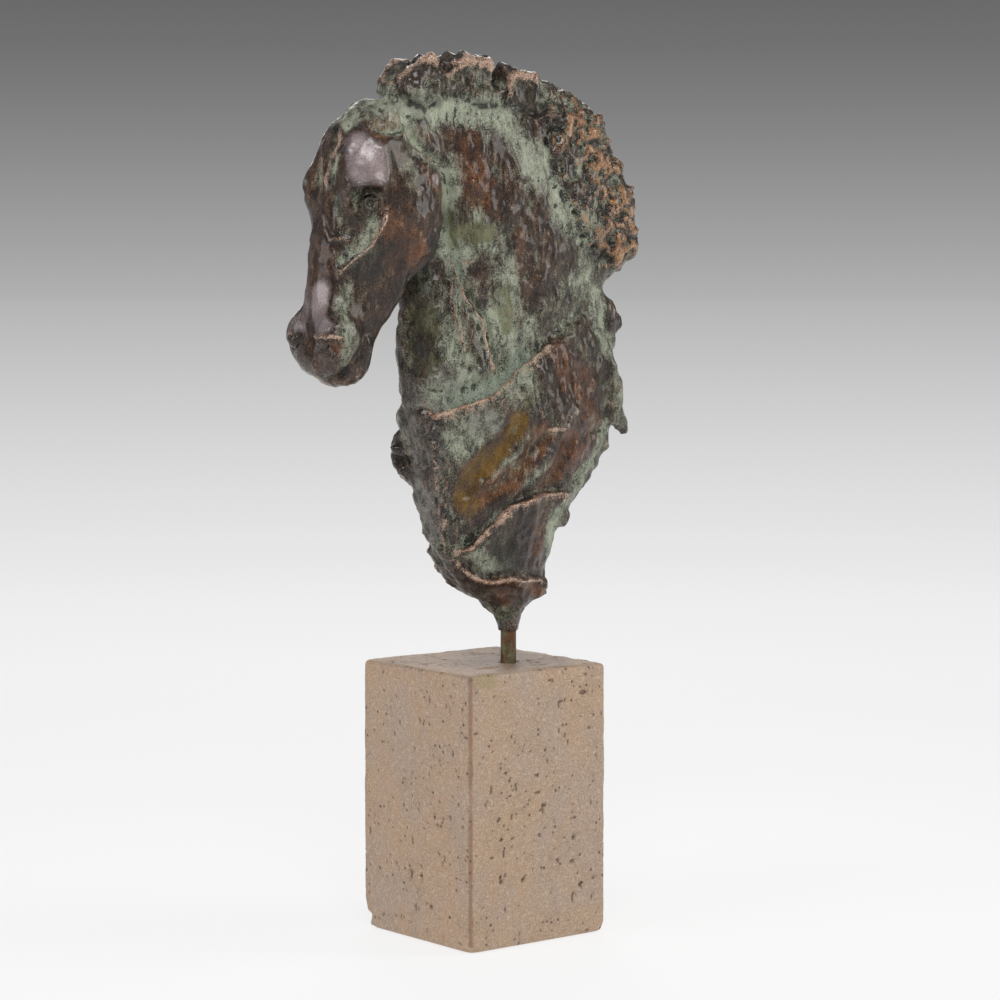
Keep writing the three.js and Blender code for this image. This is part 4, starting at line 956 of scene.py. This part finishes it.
def rod_finish():
    """The rod: dull brown metal with a greenish bloom."""
    finish = Finish("rod_metal")
    clouds = finish.noise(160, 5, 0.65, stretch=(1, 1, 0.5))
    grain = finish.noise(700, 3, 0.7)
    green = (clouds + (grain - 0.5) * 0.5).stepped(0.42, 0.66)
    colour = finish.mix(green, (0.13, 0.062, 0.03), (0.14, 0.15, 0.075))
    finish.set("Base Color", colour)
    finish.set("Metallic", 0.6 - green * 0.4)
    finish.set("Roughness", 0.42 + green * 0.2)
    finish.set("Normal", finish.bump(grain * 0.3 + clouds * 0.5, 0.3 * MM, 0.7))
    return finish.material


# The three pieces

def dress(piece, node, material):
    piece.data.materials.append(material)
    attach(piece, "root")
    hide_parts(node)


def make_bronze():
    piece = dense_copy("horse_head", "bronze_horse_head", BRONZE_GRID)
    refine(piece.data, FINE_SPOTS)
    skin = Skin(piece)
    skin.relax(4)
    mane = sculpt_bronze(skin)
    paint_bronze(skin, mane)
    dress(piece, "horse_head", bronze_finish())


def make_stone():
    piece = dense_copy("travertine_block", "stone_block", STONE_GRID)
    skin = Skin(piece)
    skin.relax(3)
    sculpt_stone(skin)
    dress(piece, "travertine_block", stone_finish())


def make_rod():
    piece = dense_copy("support_rod", "rod_in_collar", ROD_GRID)
    skin = Skin(piece)
    skin.relax(3)
    dress(piece, "support_rod", rod_finish())


# Floor, backdrop, lights and camera

FLOOR_RADIUS = 22.0
# Distance from the sculpture in metres, and how brightly the floor glows there: painted light, a floor lit by its own
# glow, brightest in a ring round the sculpture
FLOOR_GLOW = [
    (0, 0.765), (0.45, 0.765), (0.94, 0.81), (1.21, 0.84), (1.53, 0.855), (1.72, 0.847), (1.94, 0.823), (2.18, 0.80),
    (2.45, 0.784), (2.76, 0.757), (3.12, 0.738), (3.54, 0.712), (4.05, 0.687), (4.65, 0.659), (5.84, 0.616),
    (7.57, 0.573), (10.3, 0.526), (14.2, 0.487), (21.7, 0.447),
]
# How much of the lamps' light the floor gives back there, so that the sculpture's shadow shows close by
FLOOR_CATCHES = [(0, 0.2), (0.42, 0.2), (1.5, 0)]
# Height above the horizon in degrees, and the backdrop's brightness there
BACKDROP_TONES = [(-3.0, 0.60), (-1.0, 0.447), (0.0, 0.367), (0.9, 0.306), (1.8, 0.25), (2.7, 0.203), (3.6, 0.165), (4.5, 0.14)]


def tone_ramp(finish, share, tones):
    """A smooth run of greys; tones are pairs of position, from 0 to 1, and brightness."""
    ramp = finish.tree.nodes.new("ShaderNodeValToRGB")
    finish.tree.links.new(share.socket, ramp.inputs[0])
    points = ramp.color_ramp.elements
    while len(points) < len(tones):
        points.new(0.5)
    for point, (position, tone) in zip(points, tones):
        point.position = position
        point.color = (tone, tone, tone, 1)
    return Value(finish, ramp.outputs[0])


def spread_out(tones):
    """Distances on the floor as places along a ramp that gives its middle more room."""
    return [(math.sqrt(radius / FLOOR_RADIUS), tone) for radius, tone in tones]


def make_floor():
    bm = bmesh.new()
    bmesh.ops.create_circle(bm, cap_ends=True, segments=96, radius=FLOOR_RADIUS)
    mesh = bpy.data.meshes.new("floor")
    bm.to_mesh(mesh)
    bm.free()
    floor = bpy.data.objects.new("floor", mesh)
    bpy.context.scene.collection.objects.link(floor)
    finish = Finish("glowing_floor")
    away = finish.node("ShaderNodeVectorMath", {"operation": "LENGTH"}, {0: finish.places}, "Value")
    share = (away * (1 / FLOOR_RADIUS)) ** 0.5
    finish.set("Base Color", tone_ramp(finish, share, spread_out(FLOOR_CATCHES)))
    # Painted light: the floor glows by itself, brighter in a ring round the sculpture and dimmer far off, in place of
    # the lamps' light on it
    finish.set("Emission Color", tone_ramp(finish, share, spread_out(FLOOR_GLOW)))
    finish.set("Emission Strength", 1.0)
    finish.set("Roughness", 0.9)
    finish.set("Specular IOR Level", 0.1)
    floor.data.materials.append(finish.material)


class Backdrop(Finish):
    """The world, as a tree of nodes like a material's."""

    def __init__(self):
        world = bpy.data.worlds.new("studio")
        bpy.context.scene.world = world
        world.use_nodes = True
        self.tree = world.node_tree
        self.tree.nodes.clear()


def make_backdrop():
    """Dark grey high up to pale grey at the horizon as the camera sees it, and an even soft light on the sculpture."""
    drop = Backdrop()
    direction = drop.node("ShaderNodeTexCoord", output="Generated")
    upward = drop.node("ShaderNodeSeparateXYZ", values={0: direction}, output="Z")
    low, high = (math.sin(math.radians(BACKDROP_TONES[i][0])) for i in (0, -1))
    share = (upward - low) * (1 / (high - low))
    tones = [((math.sin(math.radians(d)) - low) / (high - low), tone) for d, tone in BACKDROP_TONES]
    seen = drop.node("ShaderNodeBackground", values={"Color": tone_ramp(drop, share, tones)})
    soft = drop.node("ShaderNodeBackground", values={"Color": (0.96, 0.97, 1.0), "Strength": 0.17})
    is_seen = drop.node("ShaderNodeLightPath", output="Is Camera Ray")
    light = drop.node("ShaderNodeMixShader", values={0: is_seen, 1: soft, 2: seen})
    output = drop.tree.nodes.new("ShaderNodeOutputWorld")
    drop.tree.links.new(light.socket, output.inputs["Surface"])


TARGET = Vector((0, 0, 0.32))


def softbox(name, place, width, height, watts, colour=(1, 1, 1)):
    light = bpy.data.lights.new(name, "AREA")
    light.shape = "RECTANGLE"
    light.size = width
    light.size_y = height
    light.energy = watts
    light.color = colour
    lamp = bpy.data.objects.new(name, light)
    lamp.location = place
    lamp.rotation_euler = (TARGET - Vector(place)).to_track_quat("-Z", "Y").to_euler()
    lamp.visible_camera = False
    bpy.context.scene.collection.objects.link(lamp)


def make_lights():
    softbox("above_camera", (-0.85, -1.25, 1.35), 0.9, 0.6, 15)
    softbox("nose_light", (-1.7, 0.1, 0.95), 0.8, 1.2, 10, (1, 0.97, 1))
    softbox("right_light", (1.3, -1.1, 0.95), 0.9, 1.1, 14, (1, 0.97, 0.93))
    softbox("overhead", (0.1, 0.2, 1.9), 1.4, 1.4, 3)
    softbox("behind", (1.0, 1.4, 0.9), 0.8, 1.0, 7)


def make_camera():
    camera = bpy.data.cameras.new("photograph")
    camera.sensor_width = 36
    camera.sensor_fit = "HORIZONTAL"
    camera.lens = 113.86
    camera.clip_end = 100
    holder = bpy.data.objects.new("photograph", camera)
    turn, rise = math.radians(-39.087), math.radians(4.57)
    back = Vector((math.sin(turn) * math.cos(rise), -math.cos(turn) * math.cos(rise), math.sin(rise)))
    holder.location = (-1.13363, -1.41032, 0.39435)
    holder.rotation_euler = back.to_track_quat("Z", "Y").to_euler()
    bpy.context.scene.collection.objects.link(holder)
    bpy.context.scene.camera = holder


bpy.context.scene.view_settings.view_transform = "Standard"
make_bronze()
make_stone()
make_rod()
make_floor()
make_backdrop()
make_lights()
make_camera()
